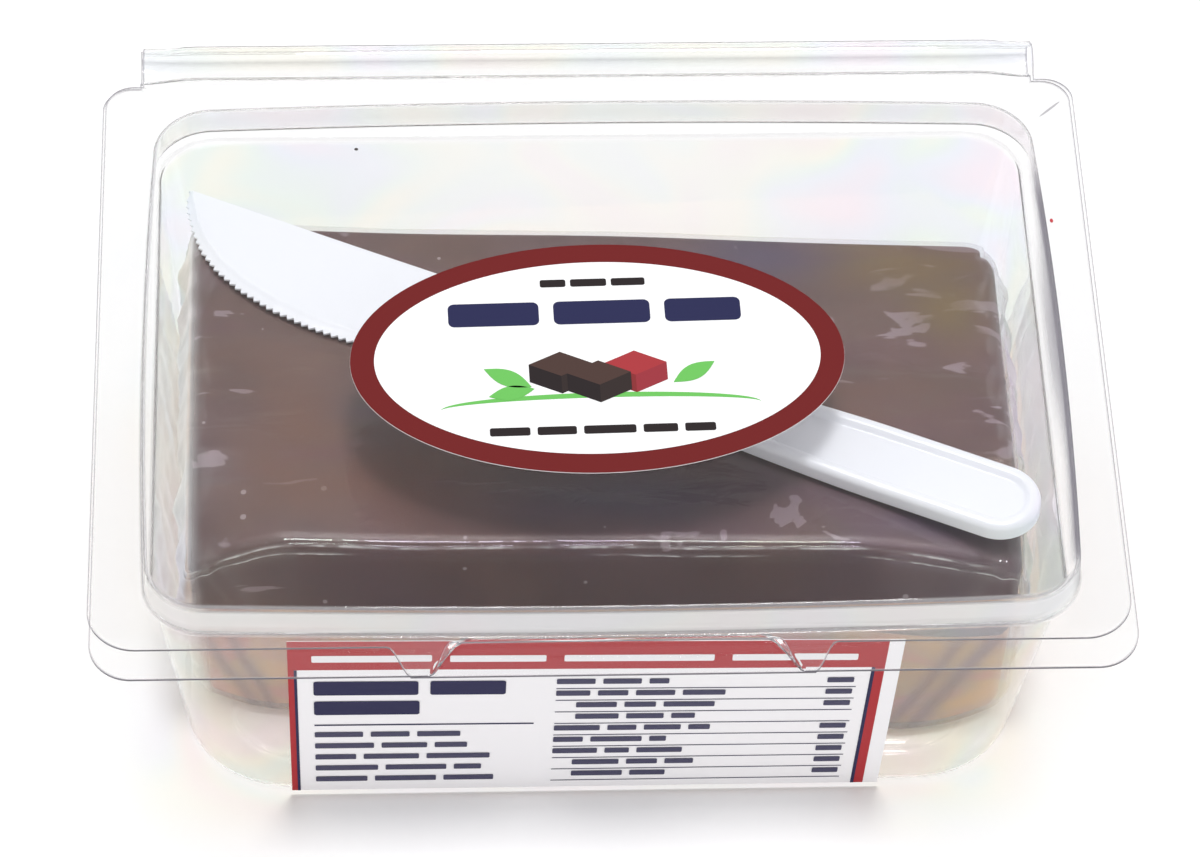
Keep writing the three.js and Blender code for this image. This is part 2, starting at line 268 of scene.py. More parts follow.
def makeCamera(s):
    elevation, swing, roll = (math.radians(s[k]) for k in ("elevation", "swing", "roll"))
    ahead = Vector((math.sin(swing) * math.cos(elevation), math.cos(swing) * math.cos(elevation),
                    -math.sin(elevation)))
    right = Vector((math.cos(swing), -math.sin(swing), 0))
    up = right.cross(ahead)
    turnedRight = right * math.cos(roll) + up * math.sin(roll)
    turnedUp = up * math.cos(roll) - right * math.sin(roll)
    data = bpy.data.cameras.new("camera")
    data.lens = s["lens"]
    data.sensor_width = 36
    data.clip_start, data.clip_end = 0.01, 50
    camera = bpy.data.objects.new("camera", data)
    bpy.context.collection.objects.link(camera)
    camera.matrix_world = Matrix.Translation((Vector(s["aim"]) - ahead * s["distance"]) * mm) @ \
        Matrix((turnedRight, turnedUp, -ahead)).transposed().to_4x4()
    bpy.context.scene.camera = camera


makeCamera(cameraSettings)

# Light: a soft box overhead, a pale surround that is dimmer on the camera's side
studioSettings = {
    "boxSize": 0.26, "boxPlace": (0.06, 0.04, 1.3), "boxWatts": 5.2,
    "surroundLow": 1.05, "surroundHigh": 0.55, "surroundFront": 0.78, "ceiling": 0.35,
    "riseBand": (0.6, 0.76), "frontBand": (-0.7, 0.1), "ceilingBand": (0.82, 0.9),  # of the view direction
    "floorColour": "fdfdfe", "floorReach": 3000.0, "exposure": 0.26,
    "bounces": {"max_bounces": 24, "transmission_bounces": 20, "transparent_max_bounces": 24,
                "glossy_bounces": 6, "diffuse_bounces": 4},
}


def makeStudio(s):
    light = bpy.data.lights.new("softBox", "AREA")
    light.shape = "SQUARE"
    light.size = s["boxSize"]
    light.energy = s["boxWatts"]
    lamp = bpy.data.objects.new("softBox", light)
    lamp.location = s["boxPlace"]
    bpy.context.collection.objects.link(lamp)
    world = bpy.data.worlds.new("surround")
    bpy.context.scene.world = world
    world.use_nodes = True
    world.node_tree.nodes.clear()
    where = addNode(world, "ShaderNodeTexCoord").outputs["Generated"]
    split = addNode(world, "ShaderNodeSeparateXYZ", Vector=where)
    rise = rangeOf(world, split.outputs["Z"], s["riseBand"], (s["surroundLow"], s["surroundHigh"]), soft=True)
    behind = rangeOf(world, split.outputs["Y"], s["frontBand"], (s["surroundFront"], 1.0), soft=True)
    ceiling = rangeOf(world, split.outputs["Z"], s["ceilingBand"], (0.0, s["ceiling"]), soft=True)
    level = mathOf(world, "MULTIPLY_ADD", rise, behind, ceiling)
    path = addNode(world, "ShaderNodeLightPath")
    strength = addNode(world, "ShaderNodeMix", {"data_type": "FLOAT"},
                       i0=path.outputs["Is Camera Ray"], i2=level, i3=1.0)
    background = addNode(world, "ShaderNodeBackground", Strength=strength.outputs["Result"])
    addNode(world, "ShaderNodeOutputWorld", Surface=background.outputs["Background"])
    reach = s["floorReach"]
    corners = np.array([[-reach, -reach, 0], [reach, -reach, 0], [reach, reach, 0], [-reach, reach, 0]])
    floor = meshFrom("floor", corners, [[[0, 1, 2, 3]]], plainMaterial("whiteCard", s["floorColour"], 0.8))
    scene = bpy.context.scene
    scene.view_settings.view_transform = "Standard"
    scene.view_settings.exposure = s["exposure"]
    for kind, count in s["bounces"].items():
        setattr(scene.cycles, kind, count)
    scene.cycles.caustics_reflective = False
    scene.cycles.caustics_refractive = False


makeStudio(studioSettings)
print("studio made")

# Clear sheet: thermoformed PET, glossy on both sides, slightly coloured where it was stretched
sheetSettings = {
    "thickness": 0.42, "webThickness": 0.25, "ior": 1.45, "roughness": 0.02, "tint": "ffffff",
    "pastelSize": 34.0, "pastelTub": 0.5, "pastelLid": 0.3,
    "scuffFront": 0.7, "scuffBack": 0.12, "scuffBead": 0.03, "scuffTub": 0.1,
    # the side grey, the foot line and the edge grey are painted shade on the sheet
    "sideScuff": (0.15, 0.5), "sideShadeGrey": (0.1, 1.0), "footLineShade": 0.9,
    "through": 0.3, "edgeShadeShare": 0.6, "edgeShadeGrey": "8a8790", "scuffColour": "fbfafa",
    "pastels": [(0.3, "fae6f5"), (0.42, "e6edfc"), (0.5, "e6f7eb"), (0.58, "fcf9e0"), (0.7, "fbe6e2")],
}


def clearSheet(name, s, pastel):
    # clear glossy sheet with faint pastel bands
    material = newMaterial(name)
    noise = noiseOf(material, placeOf(material), s["pastelSize"], Detail=1.0, Roughness=0.4, Distortion=1.2)
    amount = mathOf(material, "MULTIPLY", attributeOf(material, "stretch"), pastel)
    tint = mixOf(material, amount, linear(s["tint"]), rampOf(material, noise, s["pastels"]))
    glass = addNode(material, "ShaderNodeBsdfPrincipled", Base_Color=tint, Roughness=s["roughness"],
                    IOR=s["ior"], Transmission_Weight=1.0)
    # fine drag marks on the drawn walls scatter some of the light; cut edges, tight bends and the side walls
    # get a painted grey shade for the light that the bent sheet turns away
    bend = attributeOf(material, "bend")
    shadeGrey = mixOf(material, bend, linear(s["scuffColour"]), linear(s["edgeShadeGrey"]))
    most = mathOf(material, "MAXIMUM", attributeOf(material, "scuff"),
                  mathOf(material, "MULTIPLY", bend, s["edgeShadeShare"]))
    veil = mixShaders(material, s["through"], addNode(material, "ShaderNodeBsdfDiffuse", Color=shadeGrey),
                      addNode(material, "ShaderNodeBsdfTranslucent", Color=shadeGrey))
    # shadow rays and scattered light pass straight through it
    path = addNode(material, "ShaderNodeLightPath")
    passing = mathOf(material, "MAXIMUM", path.outputs["Is Shadow Ray"], path.outputs["Is Diffuse Ray"])
    clear = addNode(material, "ShaderNodeBsdfTransparent", Color=tint)
    return finished(material, mixShaders(material, passing, mixShaders(material, most, glass, veil), clear))


def markSheet(piece, levels):
    # stores how scuffed and stretched the sheet is at each point, and its painted grey shade, from layout
    # millimetres
    x, y, z = pointsOf(piece)
    bend = np.zeros(len(x), dtype=np.float32)
    if "bend" in piece.data.attributes:
        piece.data.attributes["bend"].data.foreach_get("value", bend)
        piece.data.attributes.remove(piece.data.attributes["bend"])
    scuff, stretch, shadeGrey = levels(x, y - frontY, z)
    storeLevels(piece, {"scuff": scuff, "stretch": stretch, "bend": np.maximum(bend, shadeGrey)})


# Loops: every ring round the pack shares the same stations, so that rings join point to point
hingeHalf = 79.7  # mm, half length of the hinge bead
rimCorner = 5.0  # mm, the rim's back corners
smallestCorner = 0.4  # mm
backStraight = rimWidth / 2 - rimCorner
hingeShare = hingeHalf / backStraight
frontStations = np.concatenate([np.linspace(-1, -0.52, 12)[:-1], np.linspace(-0.52, -0.3, 26)[:-1],
                                np.linspace(-0.3, 0.3, 16)[:-1], np.linspace(0.3, 0.52, 26)[:-1],
                                np.linspace(0.52, 1, 12)])
backStations = np.concatenate([[-1, -hingeShare], np.linspace(0.005 - hingeShare, -0.85, 8)[:-1],
                               np.linspace(-0.85, 0.85, 40)[:-1], np.linspace(0.85, hingeShare - 0.005, 8),
                               [hingeShare, 1]])
sideStations = np.linspace(-1, 1, 32)
cornerAngles = np.linspace(0, math.pi / 2, 17)[1:-1]


def ringLoop(halfWidth, front, back, corner, bow=0.0, inset=0.0, frontCorner=None, frontLine=None):
    # a rounded rectangle, anticlockwise from its front left, whose sides bow out as
    # bow times (1 - t squared), and whose front edge can follow frontLine(x)
    halfX, middleY, halfY = halfWidth - inset, (front + back) / 2, (back - front) / 2 - inset
    rFront = max((corner if frontCorner is None else frontCorner) - inset, smallestCorner)
    rBack = max(corner - inset, smallestCorner)
    low, high = rFront - halfY, halfY - rBack
    rise = low + (high - low) * (sideStations + 1) / 2

    def edge(x, y):
        return np.column_stack(np.broadcast_arrays(x, y))

    def bend(x, y, radius, quarter):
        angle = cornerAngles + quarter * math.pi / 2
        return edge(x + radius * np.cos(angle), y + radius * np.sin(angle))

    x, y = np.concatenate([
        edge(frontStations * (halfX - rFront), -halfY), bend(halfX - rFront, low, rFront, -1),
        edge(halfX, rise), bend(halfX - rBack, high, rBack, 0),
        edge(-backStations * (halfX - rBack), halfY), bend(rBack - halfX, high, rBack, 1),
        edge(-halfX, rise[::-1]), bend(rFront - halfX, low, rFront, 2)]).T
    bowed = np.stack([x + bow * x / halfX * (1 - (y / halfY) ** 2),
                      y + bow * y / halfY * (1 - (x / halfX) ** 2) + middleY], axis=1)
    if frontLine is not None:
        frontEdge = slice(0, len(frontStations))
        bowed[frontEdge, 1] += frontLine(np.abs(bowed[frontEdge, 0]))
    return bowed


def hingeColumns():
    # the columns of the back edge that the hinge bead grows from
    start = len(frontStations) + 2 * len(cornerAngles) + len(sideStations)
    return np.arange(start + 1, start + len(backStations) - 1)


def ring(loop, z):
    return np.column_stack([loop, np.broadcast_to(z, len(loop))])


def mixed(low, high, t):
    return {key: low[key] + (high[key] - low[key]) * t for key in low}


def rimRings(mouthLoop, rimLoop, z):
    # the rim: straight lines from the mouth to its edge, which droops a little along the front
    rings = []
    for t in (0.25, 0.5, 0.75, 0.93, 0.965, 1.0):
        line = mouthLoop + (rimLoop - mouthLoop) * t
        rings.append((ring(line, z - rimDroop * np.clip(droopFrom - line[:, 1], 0, None)), float(t == 1)))
    return rings


def hingeRings(rimLoop, rimZ, side, s):
    # the bead's section is the bell height * sin(a) ** bell behind a short neck and before a lip;
    # towards its two ends it widens forwards and flattens
    angle = np.linspace(0, math.pi, 15)
    back = foldLineY - s["lip"]
    columns = len(rimLoop)
    x = rimLoop[:, 0]
    toEnd = smoothStep((np.abs(x) - hingeHalf + s["flareLength"]) / s["flareLength"])
    front = s["front"] - s["flareForward"] * toEnd
    height = s["height"] * (1 - s["flareDrop"] * toEnd)
    rings = []
    for a in angle:
        y = (front + back) / 2 - (back - front) / 2 * math.cos(a)
        z = rimZ + side * height * max(math.sin(a), 0.0) ** s["bell"]
        rings.append(np.column_stack([x, y, np.broadcast_to(z, columns)]))
    rings.append(np.column_stack([x, np.full(columns, foldLineY), np.full(columns, rimZ)]))
    return rings


def sheetPiece(name, shadedRings, hinge, hubPoint, shift, material, thickness):
    # rings from the middle outwards, each with the painted grey shade of its bend or cut edge, then
    # the hinge's rings over the back columns only
    rings, bendShades = zip(*shadedRings)
    columns = len(rings[0])
    points = np.concatenate([np.concatenate(rings), np.concatenate(hinge), [hubPoint]]) + shift
    back = hingeColumns()
    faceSets = [gridFaces(len(rings), columns),
                gridFaces(len(hinge) + 1, columns, keep=back[:-1]) + (len(rings) - 1) * columns,
                fan(len(points) - 1, 0, columns, up=True)]
    bend = np.repeat(np.array(bendShades)[:, None], columns, axis=1)
    bend[-1, back[1:-1]] = 0
    # painted grey shade on the bead's lower rows, its fold line and its two cut ends
    hingeShade = np.zeros((len(hinge), columns))
    for row, level in beadSettings["lowShades"].items():
        hingeShade[row] = level * (name == "tubShell")
    hingeShade[-1] = beadSettings["foldLineShade"]
    hingeShade[:, back[[0, -1]]] = 1
    bend = np.concatenate([bend.ravel(), hingeShade.ravel(), [0]])
    used = np.unique(np.concatenate([f.ravel() for f in faceSets]))
    renumber = np.zeros(len(points), dtype=np.int64)
    renumber[used] = np.arange(len(used))
    piece = meshFrom(name, points[used], [renumber[f] for f in faceSets], material)
    storeLevels(piece, {"bend": bend[used]})
    return settle(piece, thickness)


tubSettings = {
    "foot": {"halfWidth": 71.6, "front": 14.8, "back": 115.6, "corner": 18.5},
    "mouth": {"halfWidth": 76.1, "front": 10.0, "back": 120.3, "corner": 10.0},
    "panelInsets": (46, 38, 30, 22, 14, 10, 8.5), "panelRise": 0.8,  # a raised panel in the floor
    # each bend level here is the strength of a painted grey shade
    "slopeInset": 7.6, "slopeRise": 0.32, "slopeShade": 0.1, "channelInsets": (7.0, 5.0),
    "footFillet": 3.0, "footShade": 0.12, "mouthFillet": 0.6, "mouthShade": 0.35,
    "rim": {"cornerFront": 6.2, "middleFront": 0.3, "stepFrom": 33.0, "stepTo": 37.0, "corner": 8.0},
}
lidSettings = {
    "foot": {"halfWidth": 77.1, "front": 9.0, "back": 120.9, "corner": 9.6, "bow": 1.5},
    "crown": {"halfWidth": 76.7, "front": 9.4, "back": 120.5, "corner": 9.2, "bow": 1.6},
    "crownInsets": (48, 40, 32, 24, 16, 9, 4, 2.2),
    # each bend level here is the strength of a painted grey shade
    "crownFillet": 0.6, "footFillet": 0.6, "crownShade": 0.6, "footShade": 0.5,
    "rim": {"cornerFront": 0.0, "middleFront": 6.5, "stepFrom": 27.2, "stepTo": 30.5, "corner": 7.0},
}
beadSettings = {
    "front": 134.8, "lip": 0.6, "height": 3.4, "flareLength": 9.0, "flareForward": 1.2, "flareDrop": 0.35,
    # the fold and low bend levels are the strength of a painted grey shade
    "foldLineShade": 0.08, "bell": 1.7,
    "lowShades": {9: 0.12, 10: 0.25, 11: 0.6},
}
rimDroop = 0.07  # fall of the rim for each millimetre in front of droopFrom
droopFrom = 9.0  # mm
rimDepth = 132.2  # mm, front edge of the tabs to the back edge of the rim
rimGap = 0.3  # mm, between the two rims


def rimLoopOf(rim):
    def frontLine(x):
        t = smoothStep((x - rim["stepFrom"]) / (rim["stepTo"] - rim["stepFrom"]))
        return (rim["middleFront"] - rim["cornerFront"]) * (1 - t)
    return ringLoop(rimWidth / 2, rim["cornerFront"], rimDepth, rimCorner,
                    frontCorner=rim["corner"], frontLine=frontLine)


def panelFillet(wall, flat, up, radius, bend):
    # a quarter circle from a flat panel onto the wall, which rises from it (up is 1) or falls (-1), with its
    # painted grey shade strongest mid-turn
    return [(wall(flat + up * radius * (1 - math.cos(a)), radius * (1 - math.sin(a))), bend * math.sin(2 * a))
            for a in np.linspace(0, math.pi / 2, 8)]


def rimFillet(wall, flat, up, radius, bend):
    # a quarter circle from the wall out to its rim, with its painted grey shade strongest mid-turn
    return [(wall(flat - up * radius * (1 - math.sin(a)), radius * (math.cos(a) - 1)), bend * math.sin(2 * a))
            for a in np.linspace(0, math.pi / 2, 6)]


def makeTub(s, material, thickness):
    half = thickness / 2
    top, floor = tubHeight - half, s["panelRise"] + half

    def wall(z, inset):
        return ring(ringLoop(**mixed(s["foot"], s["mouth"], z / tubHeight), inset=inset + half), z)

    rings = [(wall(floor, inset), 0) for inset in s["panelInsets"]]
    rings += [(wall(s["slopeRise"] + half, s["slopeInset"]), s["slopeShade"])]
    rings += [(wall(half, inset), 0) for inset in s["channelInsets"]]
    rings += panelFillet(wall, half, 1, s["footFillet"], s["footShade"])
    rings += [(wall(z, 0.0), 0) for z in np.arange(6, tubHeight - 2, 4)]
    rings += rimFillet(wall, top, 1, s["mouthFillet"], s["mouthShade"])
    rimLoop = rimLoopOf(s["rim"])
    rings += rimRings(rings[-1][0][:, :2], rimLoop, top)
    hub = [0, (s["foot"]["front"] + s["foot"]["back"]) / 2, floor]
    return sheetPiece("tubShell", rings, hingeRings(rimLoop, top, -1, beadSettings), hub,
                      trayShift, material, thickness)


def makeLid(s, material, thickness):
    half = thickness / 2
    top, rimZ = lidHigh[2] - half, tubHeight + rimGap + half

    def wall(z, inset):
        t = (z - rimZ) / (top - rimZ)
        return ring(ringLoop(**mixed(s["foot"], s["crown"], t), inset=inset + half), z)

    rings = [(wall(top, inset), 0) for inset in s["crownInsets"]]
    rings += panelFillet(wall, top, -1, s["crownFillet"], s["crownShade"])
    straight = np.linspace(top - s["crownFillet"] - 0.8, rimZ + s["footFillet"] + 0.4, 4)
    rings += [(wall(z, 0.0), 0) for z in straight]
    rings += rimFillet(wall, rimZ, -1, s["footFillet"], s["footShade"])
    rimLoop = rimLoopOf(s["rim"])
    rings += rimRings(rings[-1][0][:, :2], rimLoop, rimZ)
    hub = [0, (s["foot"]["front"] + s["foot"]["back"]) / 2, top]
    return sheetPiece("lidShell", rings, hingeRings(rimLoop, rimZ, 1, beadSettings), hub,
                      coverShift, material, thickness)


def tubLevels(x, y, z):
    s = sheetSettings
    wall = smoothStep((z - 1) / 4) * smoothStep((tubHeight - 0.8 - z) / 1.0)
    bead = smoothStep((y - beadSettings["front"] + 0.5) / 0.5)
    # the sheet is drawn furthest at the corners
    corner = smoothStep((np.hypot(x / 74, (y - 65) / 53) - 1.0) / 0.25)
    stretch = (0.3 + 0.7 * corner) * wall + 0.12 * (z < 4)
    wallScuff = s["scuffTub"] * (1 - 0.8 * smoothStep((y - 90) / 20))
    return wallScuff * wall * (1 - bead) + s["scuffBead"] * bead, stretch * (1 - bead), 0


def lidLevels(x, y, z):
    s = sheetSettings
    wall = smoothStep((z - tubHeight - 1.0) / 0.8) * smoothStep((lidHigh[2] - 0.6 - z) / 0.8)
    bead = smoothStep((y - beadSettings["front"] + 0.5) / 0.5)
    fromFront = smoothStep((y - 12) / 20)
    scuff = s["scuffFront"] + (s["scuffBack"] - s["scuffFront"]) * fromFront
    # the two side walls get a painted grey shade, left and right in their own measure, and the wall's foot a
    # painted grey line
    side = smoothStep((np.abs(x) - 75.6) / 0.8) * (z > tubHeight + 0.9)
    side = side * smoothStep((y - 12) / 8) * smoothStep((116 - y) / 20)
    sideScuff, sideShadeGrey = (np.where(x < 0, *s[key]) for key in ("sideScuff", "sideShadeGrey"))
    shadeGrey = np.maximum(sideShadeGrey, s["footLineShade"] * (z < tubHeight + 1.7))
    whole = scuff * wall * (1 - bead) * (1 - side) + sideScuff * side + s["scuffBead"] * bead
    return whole, wall, side * shadeGrey


def makeFold(material, s):
    # the thin web that joins the two beads at the fold line
    low, high = tubHeight - 0.2, tubHeight + 0.5
    x, angle = np.meshgrid(np.linspace(-hingeHalf, hingeHalf, 90), np.linspace(-math.pi / 2, math.pi / 2, 9))
    y = foldLineY + frontY - 0.25 + 0.45 * np.cos(angle)
    z = (low + high) / 2 + (high - low) / 2 * np.sin(angle)
    points = np.stack([x, y, z], axis=-1).reshape(-1, 3)
    web = meshFrom("hingeFold", points, [gridFaces(*x.shape, wrap=False)], material)
    piece = settle(web, s["webThickness"])
    # the web gets the fold line's painted grey shade
    markSheet(piece, lambda x, y, z: (s["scuffBead"], 0.0, beadSettings["foldLineShade"]))
    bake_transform(piece)
    return piece


clearTub = clearSheet("clearPetTub", sheetSettings, sheetSettings["pastelTub"])
clearLid = clearSheet("clearPetLid", sheetSettings, sheetSettings["pastelLid"])
tub = makeTub(tubSettings, clearTub, sheetSettings["thickness"])
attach(tub, "tray"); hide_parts("tub")
markSheet(tub, tubLevels)
lid = makeLid(lidSettings, clearLid, sheetSettings["thickness"])
markSheet(lid, lidLevels)
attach(lid, "cover"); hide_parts("lid")
fold = makeFold(clearLid, sheetSettings)
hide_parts("lid")
print("tub and lid made")

# Fudge: a soft-edged block in two layers, under film
blockSettings = {
    "left": -70.5, "right": 71.0, "front": 33.6, "depth": 70.2, "bottom": 1.6, "top": 44.0, "edge": 2.6,
    "turn": -1.2, "backTurn": -1.6, "backSharp": 5.0, "backRounds": (3.0, 5.5),
    "footSpreadLeft": 2.5, "footSpreadRight": 7.5, "endLean": 1.3, "layerLine": 24.0, "unevenness": 0.25,
    "corners": [  # how the front corners sink and lean forward, and draw back at the foot
        {"side": -1, "drop": 5.5, "forward": 2.2, "span": 17, "reach": 20, "curve": 1.6,
         "footBack": 4, "footSpan": 16},
        {"side": 1, "drop": 5, "forward": 1.8, "span": 28, "reach": 20, "curve": 1.2,
         "footBack": 6, "footSpan": 20},
    ],
    # the pale lavender patch colour is a painted reflection where the film stands off
    "chocolate": "523532", "chocolatePale": "63453f", "violet": "523a46", "standOffSheen": "ab99a1",
    "fleck": "b9abae", "light": "dfae84", "lightDark": "c4946c", "roughness": 0.45,
    "sheenClouds": {"gold": "6c5420", "indigo": "3a2b4e", "umber": "684030"},
    "sheenCloudPlaces": {  # x, y, width and depth of each cloud of painted sheen
        "gold": [(50, 97, 12, 7), (62, 86, 6, 9)],
        "indigo": [(30, 99, 14, 9), (5, 44, 22, 7), (58, 40, 10, 6)],
        "umber": [(-38, 48, 16, 9), (-52, 60, 9, 12), (42, 62, 14, 8)],
    },
    "spots": [  # x, y and radius of places where the film stands off and looks paler by painted reflection
        (30.8, 40.1, 3.4), (25.0, 99.9, 1.0), (26.3, 92.2, 0.9), (33.9, 102.2, 1.0), (20.0, 35.0, 1.1),
    ],
}
blockHalf = np.array([(blockSettings["right"] - blockSettings["left"]) / 2, blockSettings["depth"] / 2,
                      (blockSettings["top"] - blockSettings["bottom"]) / 2])


def boxGrid(lines):
    # the six faces of a box as welded grids with quads facing outwards; lines holds the stations of each axis
    points, quads, base = [], [], 0
    for axis in range(3):
        a, b = (axis + 1) % 3, (axis + 2) % 3
        gridA, gridB = np.meshgrid(lines[a], lines[b], indexing="ij")
        index = np.arange(gridA.size).reshape(gridA.shape)
        quad = np.stack([index[:-1, :-1], index[1:, :-1], index[1:, 1:], index[:-1, 1:]], -1).reshape(-1, 4)
        for end, order in ((0, -1), (-1, 1)):
            face = np.empty(gridA.shape + (3,))
            face[..., a], face[..., b], face[..., axis] = gridA, gridB, lines[axis][end]
            points.append(face.reshape(-1, 3))
            quads.append(quad[:, ::order] + base)
            base += gridA.size
    points = np.concatenate(points)
    _, first, renumber = np.unique(np.round(points * 1e4).astype(np.int64), axis=0,
                                   return_index=True, return_inverse=True)
    return points[first], renumber.reshape(-1)[np.concatenate(quads)]


def stationsOf(low, high, edge, count, roundLow=True, roundHigh=True):
    # evenly spaced stations with a few closer ones in the rounded edges
    close = edge * np.array([0, 0.12, 0.3, 0.5, 0.75])
    start = low + close if roundLow else np.array([])
    stop = (high - close)[::-1] if roundHigh else np.array([])
    return np.concatenate([start, np.linspace(low + edge * roundLow, high - edge * roundHigh, count), stop])


def shapeBlock(points, s):
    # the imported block's form: it leans and waves a little, and its front corners sink
    half = blockHalf
    x, y, z = points.T
    # the cut back edge is sharper: its quarter circle becomes u ** p + v ** p = 1
    u = np.clip((y - half[1] + s["edge"]) / s["edge"], 0, 1.2)
    v = np.clip((z - half[2] + s["edge"]) / s["edge"], 0, 1.2)
    radius = np.hypot(u, v)
    power = s["backSharp"]
    squared = np.maximum(radius, 1e-6) / np.maximum(u ** power + v ** power, 1e-9) ** (1 / power)
    both = (u > 0) & (v > 0) & (radius > 0.9)
    y = np.where(both, y + s["edge"] * u * (squared - 1), y)
    z = np.where(both, z + s["edge"] * v * (squared - 1), z)
    # the two upright back edges are rounded off: a square corner goes to a circle's
    rounds = np.where(x > 0, *s["backRounds"][::-1])
    u = np.clip((np.abs(x) - half[0] + rounds) / rounds, 0, 1.2)
    v = np.clip((y - half[1] + rounds) / rounds, 0, 1.2)
    pull = np.where((u > 0) & (v > 0), np.maximum(u, v) / np.maximum(np.hypot(u, v), 1e-9), 1) - 1
    x = x + np.sign(x) * rounds * u * pull
    y = y + rounds * v * pull
    low = (half[2] - z) / (2 * half[2])
    back = (y + half[1]) / (2 * half[1])
    wave = s["unevenness"] * (np.sin(x / 11 + 1.3) * np.cos(y / 9) + np.sin(x / 23 - y / 15))
    share = (x / half[0] + 1) / 2
    forward = (s["footSpreadLeft"] + (s["footSpreadRight"] - s["footSpreadLeft"]) * share) * low * (1 - back)
    sink = 0
    for corner in s["corners"]:
        nearEnd = np.clip(1 - (half[0] - corner["side"] * x) / corner["span"], 0, 1)
        nearFront = np.clip(1 - (y + half[1]) / corner["reach"], 0, 1)
        amount = nearEnd ** corner["curve"] * nearFront
        footEnd = np.clip(1 - (half[0] - corner["side"] * x) / corner["footSpan"], 0, 1)
        sink = sink + corner["drop"] * amount * (1 - low)
        forward = forward + corner["forward"] * amount * (1 - low)
        forward = forward - corner["footBack"] * footEnd ** 2 * nearFront * low
    turn = np.radians(s["turn"] + s["backTurn"] * back)
    sideX = x * (1 - s["endLean"] * low / half[0])
    return np.stack([
        sideX + (s["left"] + s["right"]) / 2,
        y - forward - 2 * wave * low * (1 - low) + sideX * np.tan(turn) + s["front"] + half[1],
        z - sink - (wave + 1.5 * s["unevenness"]) * (1 - low) + half[2] + s["bottom"]], axis=1)


def roundedBox(half, edge, lines, cutLow=False, cutHigh=False):
    # box points pulled onto rounded edges, and the outward direction at each
    points, quads = boxGrid(lines)
    core = half - edge
    low, high = -core, core.copy()
    low[2] = -np.inf if cutLow else low[2]
    high[2] = np.inf if cutHigh else high[2]
    inside = np.clip(points, low, high)
    away = points - inside
    length = np.linalg.norm(away, axis=1, keepdims=True)
    outward = away / np.where(length > 0, length, 1)
    return np.where(length > 0, inside + outward * edge, points), outward, quads


def makeLayer(name, low, high, material, s):
    # low and high are heights over the table; a cut height leaves a flat, sharp side
    half, edge = blockHalf, s["edge"]
    base = s["bottom"] + half[2]
    cutLow, cutHigh = low > s["bottom"], high < s["top"]
    lines = [stationsOf(-half[0], half[0], edge, 150), stationsOf(-half[1], half[1], edge, 72),
             stationsOf(low - base, high - base, edge, 24, not cutLow, not cutHigh)]
    points, _, quads = roundedBox(half, edge, lines, cutLow, cutHigh)
    piece = meshFrom(name, shapeBlock(points, s) + trayShift, [quads], material)
    return settle(piece)


def chocolateMaterial(s):
    # dark milky brown, mottled, drifting to violet
    material = newMaterial("chocolateFudge")
    place = placeOf(material)
    mottle = rangeOf(material, noiseOf(material, place, 14, Detail=4.0, Roughness=0.55), (0.3, 0.7))
    whole = mixOf(material, mottle, linear(s["chocolate"]), linear(s["chocolatePale"]))
    drift = rangeOf(material, noiseOf(material, place, 48, Detail=1.0), (0.42, 0.62), (0.0, 0.7))
    whole = mixOf(material, drift, whole, linear(s["violet"]))
    # paler patches where the film stands off it: the film's reflection there is painted into the colour
    long = placeOf(material, (0.35, 1.0, 1.0))
    sheenPatchNoise = noiseOf(material, long, 7.5, Detail=3.0, Roughness=0.6, Distortion=0.6)
    level = mathOf(material, "ADD", sheenPatchNoise, attributeOf(material, "standOffSheen"))
    sheenPatchMask = rangeOf(material, level, (0.6, 0.63), (0.0, 0.5), soft=True)
    whole = mixOf(material, sheenPatchMask, whole, linear(s["standOffSheen"]))
    # pale flecks in a few cells
    cell = addNode(material, "ShaderNodeTexVoronoi", Vector=place, Scale=1 / (3.4 * mm), Randomness=1.0)
    chance = addNode(material, "ShaderNodeSeparateColor", Color=cell.outputs["Color"]).outputs[0]
    reach = rangeOf(material, chance, (0.86, 1.0), (0.0, 0.17))
    fleck = mathOf(material, "LESS_THAN", cell.outputs["Distance"], reach)
    whole = mixOf(material, mathOf(material, "MULTIPLY", fleck, 0.55), whole, linear(s["fleck"]))
    # the tight film's reflected colours are painted over it in clouds, a painted sheen
    for name, colour in s["sheenClouds"].items():
        whole = mixOf(material, attributeOf(material, name), whole, linear(colour))
    grain = noiseOf(material, place, 1.8, Detail=1.0)
    bump = addNode(material, "ShaderNodeBump", Strength=0.05, Distance=0.15 * mm, Height=grain)
    return finished(material, addNode(material, "ShaderNodeBsdfPrincipled", Base_Color=whole,
                                      Roughness=s["roughness"], Normal=bump.outputs["Normal"]))


def lightFudgeMaterial(s):
    # peanut-coloured fudge, slightly grainy
    material = newMaterial("peanutFudge")
    mottle = noiseOf(material, placeOf(material), 9, Detail=4.0)
    colour = mixOf(material, mottle, linear(s["light"]), linear(s["lightDark"]))
    return finished(material, addNode(material, "ShaderNodeBsdfPrincipled", Base_Color=colour, Roughness=0.5))


